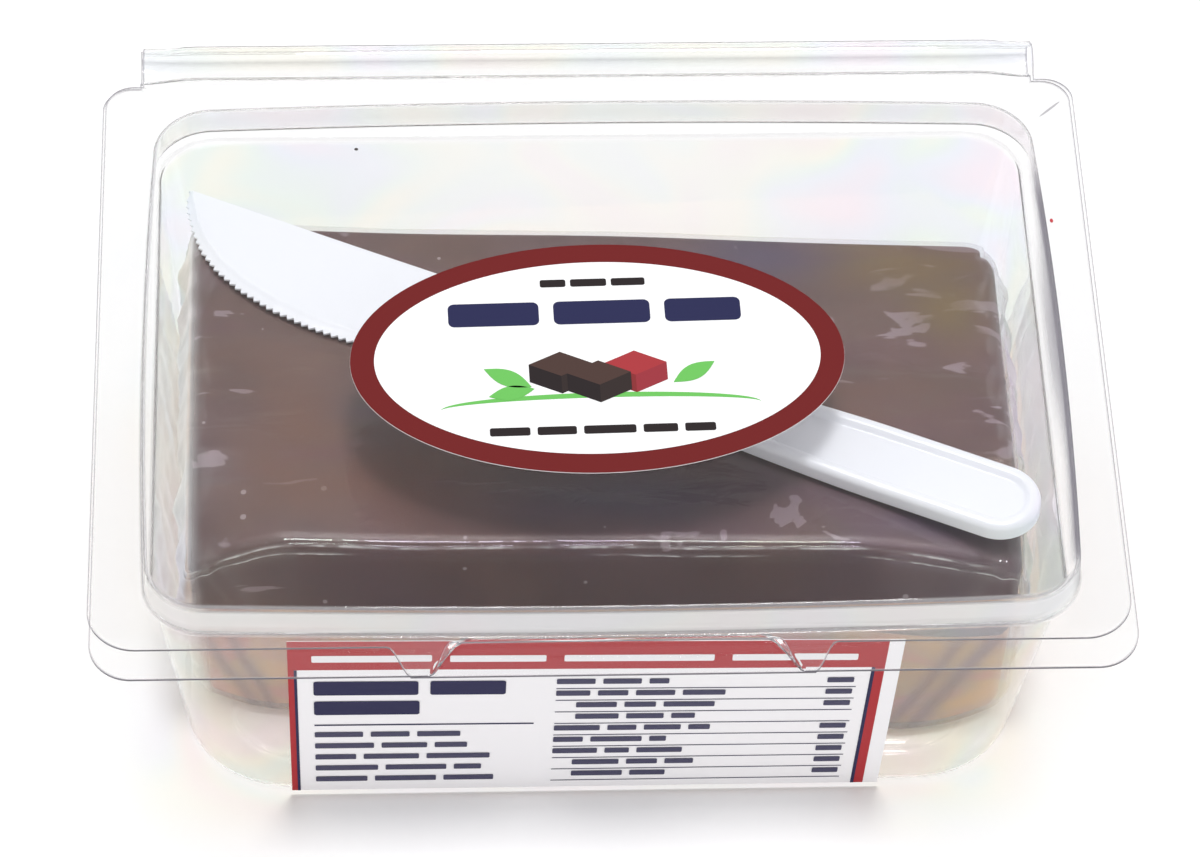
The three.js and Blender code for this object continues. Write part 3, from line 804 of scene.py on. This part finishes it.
def markLifted(piece, s):
    # where the film stands off and its reflection is painted paler: mostly along both ends, the right half of
    # the top and a few spots
    x, y, z = pointsOf(piece)
    standOffSheen = 0.10 * smoothStep((x - 5) / 60) * smoothStep((y + 30) / 30) + 0.10 * smoothStep((-x - 45) / 25) \
        + 0.05 * smoothStep((x - 55) / 12) - 0.07
    for spotX, spotY, radius in s["spots"]:
        away = np.hypot((x - spotX) * 1.5, y - frontY - spotY) + radius * ripple(x, y, 17, 6, 4.0)
        standOffSheen = standOffSheen + 0.25 * smoothStep((radius - away) / 1.2 + 0.5) * (z > 30)
    levels = {"standOffSheen": standOffSheen}
    # clouds of the film's painted sheen colours, strongest at their middles
    for name, places in s["sheenCloudPlaces"].items():
        sheenCloud = 0 * x
        for cloudX, cloudY, wide, deep in places:
            away = ((x - cloudX) / wide) ** 2 + ((y - frontY - cloudY) / deep) ** 2
            sheenCloud = sheenCloud + 0.75 * np.exp(-away * (1 + 0.5 * ripple(x, y, 71, 6, 12)))
        levels[name] = np.clip(sheenCloud, 0, 0.85)
    storeLevels(piece, levels)


chocolate = makeLayer("chocolateLayer", blockSettings["layerLine"] + 0.05, blockSettings["top"],
                      chocolateMaterial(blockSettings), blockSettings)
markLifted(chocolate, blockSettings)
peanut = makeLayer("peanutLayer", blockSettings["bottom"], blockSettings["layerLine"] - 0.05,
                   lightFudgeMaterial(blockSettings), blockSettings)
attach(chocolate, "tray"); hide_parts("fudge")
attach(peanut, "tray"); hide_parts("fudge_base")
print("fudge made")

# Film: tight over the top, folded over the ends and loose at the front corners
filmSettings = {
    "gap": 0.3, "edge": 1.3, "stations": (270, 76, 40), "lowest": 1.45,
    "topCreases": 0.1, "ridge": 0.3, "ridges": (0.75, 2.4), "endFolds": 2.3, "cornerFolds": 0.6,
    # glint sets the strength of the painted highlights along the front edge
    "gloss": 0.06, "reflection": (0.055, 0.01), "layers": 0.25, "paintedGlint": 5.0,
    # fold is the colour of the painted shade along the film's folds
    "endMilk": (3.2, 1.3), "endHem": 0.6, "clear": "fbfbfc", "milk": "f3f1f2", "fold": "bda2a6",
    "sheen": [(0.4, "ece0f6"), (0.5, "e6f3e8"), (0.6, "f6efd6")],
    "bands": [(0.4, "edcfd2"), (0.5, "e6ddc8"), (0.62, "f4e6b4")],
    # side of the block, slope, place and width of each fold's painted dark shade
    "filmFoldShadeLines": [(-1, 19.6, 9.5, 1.6), (-1, 14.0, 1.0, 1.2), (1, 26.0, 9.0, 2.2), (1, 22.0, 1.0, 1.4)],
}


def makeFilm(s, material):
    half = blockHalf + s["gap"]
    lines = [stationsOf(-h, h, s["edge"], count) for h, count in zip(half, s["stations"])]
    # the ridges need closer rows near the top
    lines[2] = np.unique(np.concatenate([lines[2], np.arange(half[2] - 3.2, half[2] - 0.3, 0.07)]))
    points, outward, quads = roundedBox(half, s["edge"], lines)
    x, y, z = points.T
    zero = 0 * x
    fromFront, fromEnd, below = y + half[1], half[0] - np.abs(x), half[2] - z
    low = below / (2 * half[2])
    top, front = smoothStep(2.5 - below), smoothStep(1 - fromFront / 5)
    crease = s["topCreases"] * top * (ripple(x, y * 3.5, 3, 9, 34) + 0.6 * ripple(x * 0.6, y * 2, 8, 9, 9))
    # two lines of loose film run along the front edge: one on it, one just under it; their glints are painted
    # highlights in milky white
    paintedGlint = zero
    second = np.maximum(smoothStep((np.abs(x) - 41) / 6), smoothStep((x + 4) / 5) * smoothStep((29 - x) / 5))
    for line, present in zip(s["ridges"], (1, second)):
        fromRidge = (below - line - 0.25 * ripple(x, zero, 21, 6, 30)) / s["ridge"]
        broken = present * smoothStep(0.8 + 1.2 * ripple(x, zero, 33 + int(line), 8, 12))
        broken = broken * (0.8 + 0.4 * ripple(x, zero, 35, 6, 2.5))
        crease = crease + s["ridge"] * front * np.sqrt(np.clip(1 - fromRidge ** 2, 0, None)) * broken
        fleck = smoothStep(0.75 + 1.3 * ripple(x, zero, 40 + int(line), 9, 5.0))
        paintedGlint = paintedGlint + s["paintedGlint"] * (fromFront < 2) * broken * fleck * hump(fromRidge / 0.55)
    crease = crease + 0.07 * front * ripple(x, z * 0.3, 12, 9, 3.5) * hump(below - 0.6)
    # folds over the ends: upright ripples that fade to the top edge
    end = smoothStep(1 - fromEnd / 3)
    bulge = smoothStep(below / 7) * smoothStep((2 * half[2] - below) / 8)
    folds = 0.75 + 0.6 * ripple(y * 1.6, z * 0.3, 5, 7, 12) + 0.25 * ripple(y * 2, z, 6, 7, 5)
    crease = crease + end * bulge * s["endFolds"] * folds
    # envelope folds: slanting ridges from the top front corners towards the foot
    corner = smoothStep(1 - fromEnd / 26) * smoothStep(1 - fromFront / 6)
    slant = fromEnd - 3 - 16 * low
    crease = crease + corner * s["cornerFolds"] * (hump(slant / 1.1) + 0.6 * hump((slant - 6) / 1.6))
    # it clings to the cut back edge
    crease = crease - 0.4 * smoothStep(1 - (half[1] - y) / 3) * smoothStep(1 - below / 3)
    moved = shapeBlock(points, blockSettings) + outward * crease[:, None]
    moved[:, 2] = np.maximum(moved[:, 2], s["lowest"])
    piece = meshFrom("filmWrap", moved + trayShift, [quads], material)
    # the ends are milky from many layers, and a narrow hem of them laps over the top
    milk = np.where(x < 0, *s["endMilk"])
    milkAndGlint = milk * end * (0.75 + 0.25 * smoothStep(0.5 + 1.2 * ripple(y * 1.4, z * 0.5, 15, 8, 9)))
    hem = s["endHem"] * top * smoothStep((4.2 + 2.2 * ripple(y, zero, 51, 7, 12) - fromEnd) / 0.8)
    hem = hem * (0.3 + 0.7 * smoothStep(0.4 + 1.5 * ripple(y * 0.8, x * 2.5, 52, 8, 5))) * (fromEnd > 0.9)
    # the painted glint highlights join the milky folds here
    milkAndGlint = np.maximum.reduce([milkAndGlint, hem, corner * 0.35 * hump((slant - 2) / 1.2), paintedGlint])
    # the front's lower half hangs loose in coloured bands, with slanting folds whose shade is painted dark
    upright = smoothStep(1 - fromFront / 2) * smoothStep((below - 3) / 2)
    baggy = upright * smoothStep((low - 0.42) / 0.1)
    filmFoldShade = zero
    for side, slope, start, width in s["filmFoldShadeLines"]:
        off = fromEnd - slope * low + start + 0.8 * ripple(x, z, 61, 5, 14)
        filmFoldShade = filmFoldShade + (x * side > 0) * baggy * hump(off / width)
    storeLevels(piece, {"milkAndGlint": milkAndGlint, "upright": upright, "baggy": baggy, "filmFoldShade": filmFoldShade})
    return piece


def filmMaterial(s):
    # thin clear film: only its reflections and faint wrinkles show
    material = newMaterial("clingFilm")
    place = placeOf(material, (0.35, 1.0, 0.6))
    wrinkle = noiseOf(material, place, 4.5, Detail=3.0, Roughness=0.5, Distortion=0.8)
    crinkle = addNode(material, "ShaderNodeTexVoronoi", {"feature": "DISTANCE_TO_EDGE"},
                      Vector=place, Scale=1 / (6.5 * mm), Randomness=1.0)
    height = mathOf(material, "MULTIPLY_ADD", crinkle.outputs["Distance"], 0.35, wrinkle)
    bump = addNode(material, "ShaderNodeBump", Strength=0.35, Distance=0.5 * mm, Height=height).outputs[0]
    facing = addNode(material, "ShaderNodeLayerWeight", Blend=0.5, Normal=bump).outputs["Facing"]
    base = rangeOf(material, attributeOf(material, "upright"), (0.0, 1.0), s["reflection"])
    mirror = mathOf(material, "MULTIPLY_ADD", mathOf(material, "POWER", facing, 5.0), 0.85, base, clamp=True)
    # thin-film colours: the tight film reflects in faint gold, green and violet
    sheen = rampOf(material, noiseOf(material, place, 16, Distortion=1.0), s["sheen"])
    gloss = addNode(material, "ShaderNodeBsdfAnisotropic", Color=sheen, Roughness=s["gloss"], Normal=bump)
    # the baggy part tints what lies behind it in bands, and painted shade darkens it along its folds
    bands = rampOf(material, noiseOf(material, place, 9, Distortion=2.0), s["bands"])
    tinted = mixOf(material, attributeOf(material, "baggy"), linear(s["clear"]), bands)
    filmFoldShaded = mixOf(material, attributeOf(material, "filmFoldShade"), tinted, linear(s["fold"]))
    clear = addNode(material, "ShaderNodeBsdfTransparent", Color=filmFoldShaded)
    # several layers lie over one another in the folds and look milky; the painted glint highlights along the
    # front edge use the same white
    depth = rangeOf(material, facing, (0.2, 0.8), (0.5 * s["layers"], s["layers"]))
    milkAndGlintShare = mathOf(material, "MULTIPLY", attributeOf(material, "milkAndGlint"), depth)
    milk = addNode(material, "ShaderNodeBsdfDiffuse", Color=linear(s["milk"]))
    return finished(material, mixShaders(material, milkAndGlintShare, mixShaders(material, mirror, clear, gloss), milk))


film = makeFilm(filmSettings, filmMaterial(filmSettings))
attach(film, "tray"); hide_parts("fudge", "fudge_base")
print("film made")

# Knife: injection-moulded, one toothed edge, a handle with a raised rim round a shallow channel
knifeSettings = {
    "length": 163.3, "tip": (-71.1, 113.9), "turn": -25.0, "bladeThickness": 1.2, "edgeThickness": 0.5,
    "bevel": 2.2, "pitch": 1.45, "toothDepth": 0.75, "toothedTo": 82.0,
    "handleFrom": 96.0, "middle": -8.6, "halfWidth": 7.2, "neckHalfWidth": 5.9,
    "rim": 2.5, "rimRound": 1.3, "height": 3.4, "floor": 2.4, "lift": 0.3,
    "near": (0, 0.08, 0.2, 0.4, 0.7, 1.05, 1.4, 1.75, 2.1, 2.4, 2.6, 2.8, 3.0, 3.2, 3.5),  # from a side
    "edge": [(0, 0), (1.5, -3.6), (4.6, -8), (8.2, -11.9), (12.5, -14.9), (18, -17.3), (25, -19.2),
             (33, -20.2), (42, -20.2), (55, -19.4), (70, -17.9), (86, -16)],
    "colour": "eef0f7",
}


def fromOutline(flat, outline):
    # distance of each point from a closed line, a few dozen of its stretches at a time
    start, step = outline, np.roll(outline, -1, axis=0) - outline
    keep = np.hypot(*step.T) > 1e-6
    start, step = start[keep], step[keep]
    distance = np.full(len(flat), np.inf)
    for k in range(0, len(start), 60):
        a, d = start[k:k + 60], step[k:k + 60]
        t = np.clip(np.einsum("pkc,kc->pk", flat[:, None, :] - a[None], d) / (d ** 2).sum(1), 0, 1)
        gap = flat[:, None, :] - a[None] - t[..., None] * d[None]
        distance = np.minimum(distance, np.sqrt((gap ** 2).sum(2)).min(1))
    return distance


def softened(values):
    # a running mean of nine that keeps both ends
    return np.convolve(np.pad(values, 4, mode="reflect", reflect_type="odd"), np.ones(9) / 9, mode="valid")


def makeKnife(s, material):
    # a grid of stations along the knife by points across it, once for the top and once for the underside
    line = np.array(s["edge"], dtype=float)
    bladeEnd, heel = line[-1]
    along = np.concatenate([[0], np.cumsum(np.hypot(*np.diff(line, axis=0).T))])
    fine = np.arange(0.15, along[-1], s["pitch"] / 8)
    edge = np.stack([softened(np.interp(fine, along, values)) for values in line.T], axis=1)
    slope = np.gradient(edge, axis=0)
    slope /= np.linalg.norm(slope, axis=1, keepdims=True)
    outwards = np.stack([slope[:, 1], -slope[:, 0]], axis=1)
    # teeth lean to the tip: a quick rise and a slow fall
    phase = (fine / s["pitch"]) % 1
    tooth = np.where(phase < 0.3, phase / 0.3, (1 - phase) / 0.7) * s["toothDepth"]
    tooth *= smoothStep(fine / 1.5) * smoothStep((s["toothedTo"] - fine) / 1.0)
    tooth -= s["toothDepth"] * 0.6
    lower = edge + outwards * tooth[:, None]
    back = -0.25 * np.sin(np.clip(edge[:, 0] / bladeEnd, 0, 1) * math.pi)
    upper = np.stack([edge[:, 0], back], axis=1)
    # the handle narrows to a neck and ends in a half circle
    radius = s["halfWidth"]
    endFrom = s["length"] - radius
    shaft = np.concatenate([np.arange(bladeEnd + 0.6, endFrom, 0.6),
                            endFrom + radius * np.sin(np.linspace(0, math.pi / 2 - 0.02, 40))])
    width = s["neckHalfWidth"] + (radius - s["neckHalfWidth"]) * smoothStep((shaft - s["handleFrom"]) / 40)
    width = width * np.sqrt(np.clip(1 - (np.clip(shaft - endFrom, 0, None) / radius) ** 2, 0, 1))
    shoulder = smoothStep((shaft - bladeEnd) / (s["handleFrom"] - bladeEnd))
    shaftLower = (s["middle"] - width) * shoulder + heel * (1 - shoulder)
    upper = np.concatenate([upper, np.stack([shaft, (s["middle"] + width) * shoulder], axis=1)])
    lower = np.concatenate([lower, np.stack([shaft, shaftLower], axis=1)])
    # across: close points in the first few millimetres from each side
    near = np.array(s["near"])[None, :]
    span = np.linalg.norm(upper - lower, axis=1)[:, None]
    shrink = np.minimum(1, span / 9.0)
    first = near[0, -1] * shrink
    middle = first + (span - 2 * first) * np.linspace(0, 1, 9)[None, 1:-1]
    across = np.concatenate([near * shrink, middle, span - near[:, ::-1] * shrink], axis=1) / span
    plan = lower[:, None, :] + (upper - lower)[:, None, :] * across[..., None]
    rows, columns = plan.shape[:2]
    distance = fromOutline(plan.reshape(-1, 2), np.concatenate([lower, upper[::-1]])).reshape(rows, columns)
    # the bevel follows the smooth edge, not the teeth
    recess = np.concatenate([tooth, np.zeros(len(shaft))])
    fromEdge = np.clip(np.linalg.norm(plan - lower[:, None, :], axis=2) - recess[:, None], 0, None)
    bevel = np.clip(fromEdge / s["bevel"], 0, 1)
    bladeTop = s["edgeThickness"] + (s["bladeThickness"] - s["edgeThickness"]) * bevel
    bladeTop = bladeTop + 0.12 * hump((fromEdge - s["bevel"]) / 0.35)
    rounding = s["rimRound"]
    rimTop = s["height"] - rounding + np.sqrt(
        np.clip(rounding ** 2 - (rounding - np.clip(distance, 0, rounding)) ** 2, 0, None))
    inner = smoothStep((distance - s["rim"] + 0.6) / 0.9)
    handleTop = rimTop * (1 - inner) + s["floor"] * inner
    mix = smoothStep((plan[..., 0] - bladeEnd + 2) / 16)
    topZ = np.maximum(bladeTop * (1 - mix) + handleTop * mix, 0.35)
    bottomZ = 0.12 * np.clip(1 - distance / 0.3, 0, 1)
    points = np.concatenate([np.dstack([plan, z]).reshape(-1, 3) for z in (topZ, bottomZ)])
    points[:, :2] = spun(points[:, :2], s["turn"]) + s["tip"]
    points[:, 2] += blockSettings["top"] + s["lift"]
    return settle(meshFrom("knifeBody", points + trayShift, plateFaces(rows, columns), material), sharp=40)


def mouldedPlastic(s):
    # opaque white polystyrene with a soft gloss; a little light enters it
    return plainMaterial("whitePolystyrene", s["colour"], 0.28, IOR=1.55, Subsurface_Weight=0.15,
                         Subsurface_Scale=1.0 * mm, Subsurface_Radius=(1.0, 1.0, 1.0))


knife = makeKnife(knifeSettings, mouldedPlastic(knifeSettings))
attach(knife, "tray"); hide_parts("knife")
print("knife made")


# Labels: printed paper, drawn as flat shapes in ink a hair above the sheet
def inkMaterial():
    # flat print with hardly any gloss
    material = newMaterial("printedInk")
    colour = attributeOf(material, "ink", "Color")
    return finished(material, addNode(material, "ShaderNodeBsdfPrincipled", Base_Color=colour,
                                      Roughness=0.5, Specular_IOR_Level=0.2))


def paperMaterial():
    # coated label paper, slightly off white
    return plainMaterial("coatedPaper", "faf8fa", 0.5, Specular_IOR_Level=0.25)


def bar(left, top, right, bottom, corner=0.0):
    # a rectangle, or a rounded one, with v growing downwards
    corner = min(corner, (right - left) / 2 - 0.01, (bottom - top) / 2 - 0.01)
    if corner <= 0:
        points = [(left, top), (left, bottom), (right, bottom), (right, top)]
    else:
        angle = np.linspace(0, math.pi / 2, 6)
        centres = [(left + corner, top + corner, math.pi), (right - corner, top + corner, 1.5 * math.pi),
                   (right - corner, bottom - corner, 0), (left + corner, bottom - corner, 0.5 * math.pi)]
        points = [(cx + corner * math.cos(start + a), cy + corner * math.sin(start + a))
                  for cx, cy, start in centres for a in angle][::-1]
    return points


def drawInk(name, shapes, place, paper, material):
    # shapes: outline, colour, layer; place turns u, v and the lift off the plastic into row millimetres
    points, faces, colours, count = [], [], [], 0
    for outline, colour, layer in shapes:
        # anticlockwise on the page, so that each shape faces its reader
        page = np.array(outline)
        u, v = page.T
        if u @ np.roll(v, -1) >= v @ np.roll(u, -1):
            page = page[::-1]
        points.append(place(*page.T, paper + 0.03 + 0.03 * layer))
        faces.append(count + np.arange(len(page))[None, :])
        colours.append(np.tile(linear(colour), (len(page), 1)))
        count += len(page)
    piece = meshFrom(name, np.concatenate(points), faces, material)
    ink = piece.data.color_attributes.new("ink", "FLOAT_COLOR", "CORNER")
    ink.data.foreach_set("color", np.concatenate(colours).astype(np.float32).ravel())
    return piece


frontLabelSettings = {
    "left": -53.5, "width": 102.4, "top": 48.2, "bottom": 1.3, "pinch": 1.7, "slope": -0.018,
    "paper": 0.12, "standOff": 0.06,
    "printWidth": 99.8, "banner": 8.6, "red": "b0282f", "navy": "22204a", "barGrey": "47455f", "lineSeed": 4,
}


def frontPlace(u, v, lift):
    # the label lies on the tub's front wall, tilted a little; v grows downwards
    s, foot, mouth = frontLabelSettings, tubSettings["foot"], tubSettings["mouth"]
    down = v / (s["top"] - s["bottom"])
    x = s["left"] + u * (1 - s["pinch"] * down / s["width"])
    z = s["top"] - v + s["slope"] * u * (1 - down)
    wall = foot["front"] + (mouth["front"] - foot["front"]) * z / tubHeight
    return np.stack(np.broadcast_arrays(x, wall - s["standOff"] - lift, z), axis=-1) + trayShift


def makeFrontPaper(s, material):
    u, v = np.meshgrid(np.linspace(0, s["width"], 30), np.linspace(0, s["top"] - s["bottom"], 16))
    points = np.concatenate([frontPlace(u, v, lift).reshape(-1, 3) for lift in (s["paper"], 0.0)])
    return settle(meshFrom("frontLabelPaper", points, plateFaces(*u.shape), material))


def barRow(left, right, top, height, draw, colour, shortest=4.0, longest=11.0, space=1.3, soft=0.25):
    # a row of plain bars of random length
    shapes, x = [], left
    while x < right - shortest * 0.6:
        length = min(draw.uniform(shortest, longest), right - x)
        shapes.append((bar(x, top, x + length, top + height, soft), colour, 2))
        x += length + space
    return shapes


def frontShapes(s):
    draw = np.random.default_rng(s["lineSeed"])
    height, banner, edge = s["top"] - s["bottom"], s["banner"], s["printWidth"]
    navy, red, white = s["navy"], s["red"], "f4f2f4"
    shapes = [(bar(0, 0, edge, banner), red, 0),
              (bar(0, banner, 1.0, height), red, 0), (bar(1.0, banner, 1.5, height), navy, 1),
              (bar(edge - 1.6, banner, edge, height), red, 0),
              (bar(edge - 2.2, banner, edge - 1.6, height), navy, 1)]
    for left, right in ((4, 24), (27, 43), (46, 71), (74, 95)):
        shapes.append((bar(left, 4.2, right, 6.2, 0.3), white, 1))
    for top, right in ((12.0, 36.5), (18.2, 24.0)):
        shapes += barRow(4.2, right, top, 4.3, draw, navy, 11, 18, 2.0, 0.5)
    shapes.append((bar(4.2, 25.6, 41.5, 26.0), navy, 1))
    for row in range(5):
        shapes += barRow(4.2, draw.uniform(28, 41), 28.0 + 3.6 * row, 1.6, draw, s["barGrey"])
    for row in range(9):
        top = 11.6 + 3.75 * row
        shapes.append((bar(45, top + 3.0, 95.5, top + 3.22), navy, 1))
        indent = (0, 0, 3.5, 3.5, 0, 0, 0, 3.5, 3.5)[row]
        shapes += barRow(45 + indent, draw.uniform(62, 76), top, 1.6, draw, s["barGrey"], 4, 9)
        if row != 3:
            shapes.append((bar(90.5, top, 95.0, top + 1.6, 0.25), s["barGrey"], 2))
    return shapes


ovalSettings = {
    "centre": (-1.2, 61.9), "length": 84.0, "width": 51.0, "turn": 1.3, "paper": 0.15, "lift": 0.04,
    "rim": 4.1, "red": "6e1516", "navy": "22244e", "green": "6cc05c", "dark": "231a1c",
}


def makeOvalPaper(s, material):
    angle = np.linspace(0, 2 * math.pi, 193)[:-1]
    columns = len(angle)
    # share of the radius and lift of each ring, from the middle out and down the cut edge
    rings = [(r, s["paper"]) for r in (0.25, 0.5, 0.75, 0.995)] + [(1.0, s["paper"] - 0.03), (1.0, 0.0)]
    points = [ovalPlace(r * s["length"] / 2 * np.cos(angle), r * s["width"] / 2 * np.sin(angle), lift)
              for r, lift in rings]
    hubs = [ovalPlace(0.0, 0.0, lift)[None, :] for lift in (s["paper"], 0.0)]
    count = len(rings) * columns
    faces = [gridFaces(len(rings), columns), fan(count, 0, columns, up=False),
             fan(count + 1, count - columns, columns, up=True)]
    return settle(meshFrom("lidLabelPaper", np.concatenate(points + hubs), faces, material))


def ovalPlace(u, v, lift):
    # page millimetres to the dome's top: u to the right, v towards the front
    s = ovalSettings
    flat = spun(np.stack(np.broadcast_arrays(u, -v), axis=-1), s["turn"]) + s["centre"]
    height = np.broadcast_to(lidHigh[2] + s["lift"] + lift, flat.shape[:-1])
    return np.concatenate([flat, height[..., None]], axis=-1) + coverShift


def ellipse(centreU, centreV, radiusU, radiusV, start=0.0, stop=2 * math.pi, count=96):
    angles = np.linspace(start, stop, count, endpoint=abs(stop - start) < 6.2)
    return [(centreU + radiusU * math.cos(a), centreV + radiusV * math.sin(a)) for a in angles]


def cubeShapes(u, v, size, colours):
    # an upright square block seen from a corner: top, left side and right side
    w, h, deep = size, size * 0.5, size * 0.72
    top = [(u, v - h), (u - w, v), (u, v + h), (u + w, v)]
    left = [(u - w, v), (u - w, v + deep), (u, v + h + deep), (u, v + h)]
    right = [(u, v + h), (u, v + h + deep), (u + w, v + deep), (u + w, v)]
    return [(top, colours[0], 2), (left, colours[1], 2), (right, colours[2], 2)]


def leaf(u, v, length, angle, fat=0.192):
    # its two sides are half waves
    t = np.linspace(0, 1, 20)
    side = np.stack([length * t, fat * length * np.sin(math.pi * t)], axis=1)
    outline = np.concatenate([side, side[-2:0:-1] * (1, -1)])
    return spun(outline, math.degrees(angle)) + (u, v)


def ovalShapes(s):
    white, navy, red, green, dark = "fbfbfc", s["navy"], s["red"], s["green"], s["dark"]
    shapes = [(ellipse(0, 0, s["length"] / 2 - 0.02, s["width"] / 2 - 0.02, count=160), red, 0),
              (ellipse(0, 0, s["length"] / 2 - s["rim"], s["width"] / 2 - s["rim"], count=160), white, 1)]
    # plain bars above, three blocks of fudge with leaves below them
    for left, right in ((-25, -9.5), (-7, 9.5), (12, 25)):
        shapes.append((bar(left, -12.6, right, -7.4, 1.1), navy, 2))
    for left, right in ((-9, -4.6), (-3.8, 2.4), (3.2, 9)):
        shapes.append((bar(left, -17.6, right, -15.9, 0.4), dark, 2))
    ground = ellipse(0, 11.0, 27, 3.0, math.pi, 2 * math.pi, 40) + \
        ellipse(0, 11.0, 27, 1.9, 2 * math.pi, math.pi, 40)
    shapes.append((ground, green, 2))
    for u, v, length, angle in ((-11.5, 6.4, 9, -2.65), (-11.0, 6.8, 8, 2.95), (12.5, 6.2, 8.5, -0.55)):
        shapes.append((leaf(u, v, length, angle), green, 3))
    chocolateSides = ("4a3530", dark, "2f2423")
    shapes += cubeShapes(-6.4, 1.4, 5.4, chocolateSides)
    shapes += cubeShapes(6.2, 1.6, 5.4, ("a8343a", "86292d", "98303a"))
    shapes += [(o, c, 3) for o, c, _ in cubeShapes(0, 3.6, 5.4, chocolateSides)]
    for left, right in ((-19.0, -12.2), (-11.0, -4.4), (-3.2, 5.6), (6.8, 12.6), (13.8, 19)):
        shapes.append((bar(left, 15.2, right, 17.0, 0.4), dark, 2))
    return shapes


# Small marks: a crumb on the dome, a red speck on the rim and a pressed crease at the rim's back corner
markSettings = {
    "crumb": {"at": (-41.8, 110.2), "z": 59.6, "size": (0.35, 0.3, 0.12), "colour": "2e2422"},
    "speck": {"at": (79.8, 97.9), "z": 52.75, "size": (0.3, 0.5, 0.08), "colour": "c2303a"},
    "crease": {"at": (81.8, 124.7), "z": 52.74, "size": (2.7, 0.22, 0.05), "turn": 43, "colour": "b9b6bb"},
}


def makeMark(name, s):
    # a flattened drop: x, y, z scaled from a ball of rings by columns
    columns = 16
    polar = np.linspace(0, math.pi, 9)[1:-1]
    around = np.linspace(0, 2 * math.pi, columns + 1)[:-1]
    ball = np.stack([np.outer(np.sin(polar), np.cos(around)), np.outer(np.sin(polar), np.sin(around)),
                     np.outer(np.cos(polar), np.ones(columns))], axis=-1).reshape(-1, 3)
    points = np.concatenate([ball, [[0, 0, 1], [0, 0, -1]]]) * s["size"]
    points[:, :2] = spun(points[:, :2], s.get("turn", 0)) + s["at"]
    points[:, 2] += s["z"]
    count = len(ball)
    faces = [gridFaces(len(polar), columns)[:, ::-1], fan(count, 0, columns, up=True),
             fan(count + 1, count - columns, columns, up=False)]
    piece = meshFrom(name, points + coverShift, faces, plainMaterial(name + "Surface", s["colour"], 0.4))
    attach(piece, "cover"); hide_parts("lid")
    return settle(piece)


for name, settings in markSettings.items():
    makeMark(name + "Mark", settings)
paper, ink = paperMaterial(), inkMaterial()
frontPaper = makeFrontPaper(frontLabelSettings, paper)
frontPrint = drawInk("frontLabelPrint", frontShapes(frontLabelSettings), frontPlace,
                     frontLabelSettings["paper"], ink)
ovalPaper = makeOvalPaper(ovalSettings, paper)
ovalPrint = drawInk("lidLabelPrint", ovalShapes(ovalSettings), ovalPlace, ovalSettings["paper"], ink)
for piece in (frontPaper, frontPrint):
    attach(piece, "tray"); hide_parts("front_label")
for piece in (ovalPaper, ovalPrint):
    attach(piece, "cover"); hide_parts("lid_label")
print("labels made")
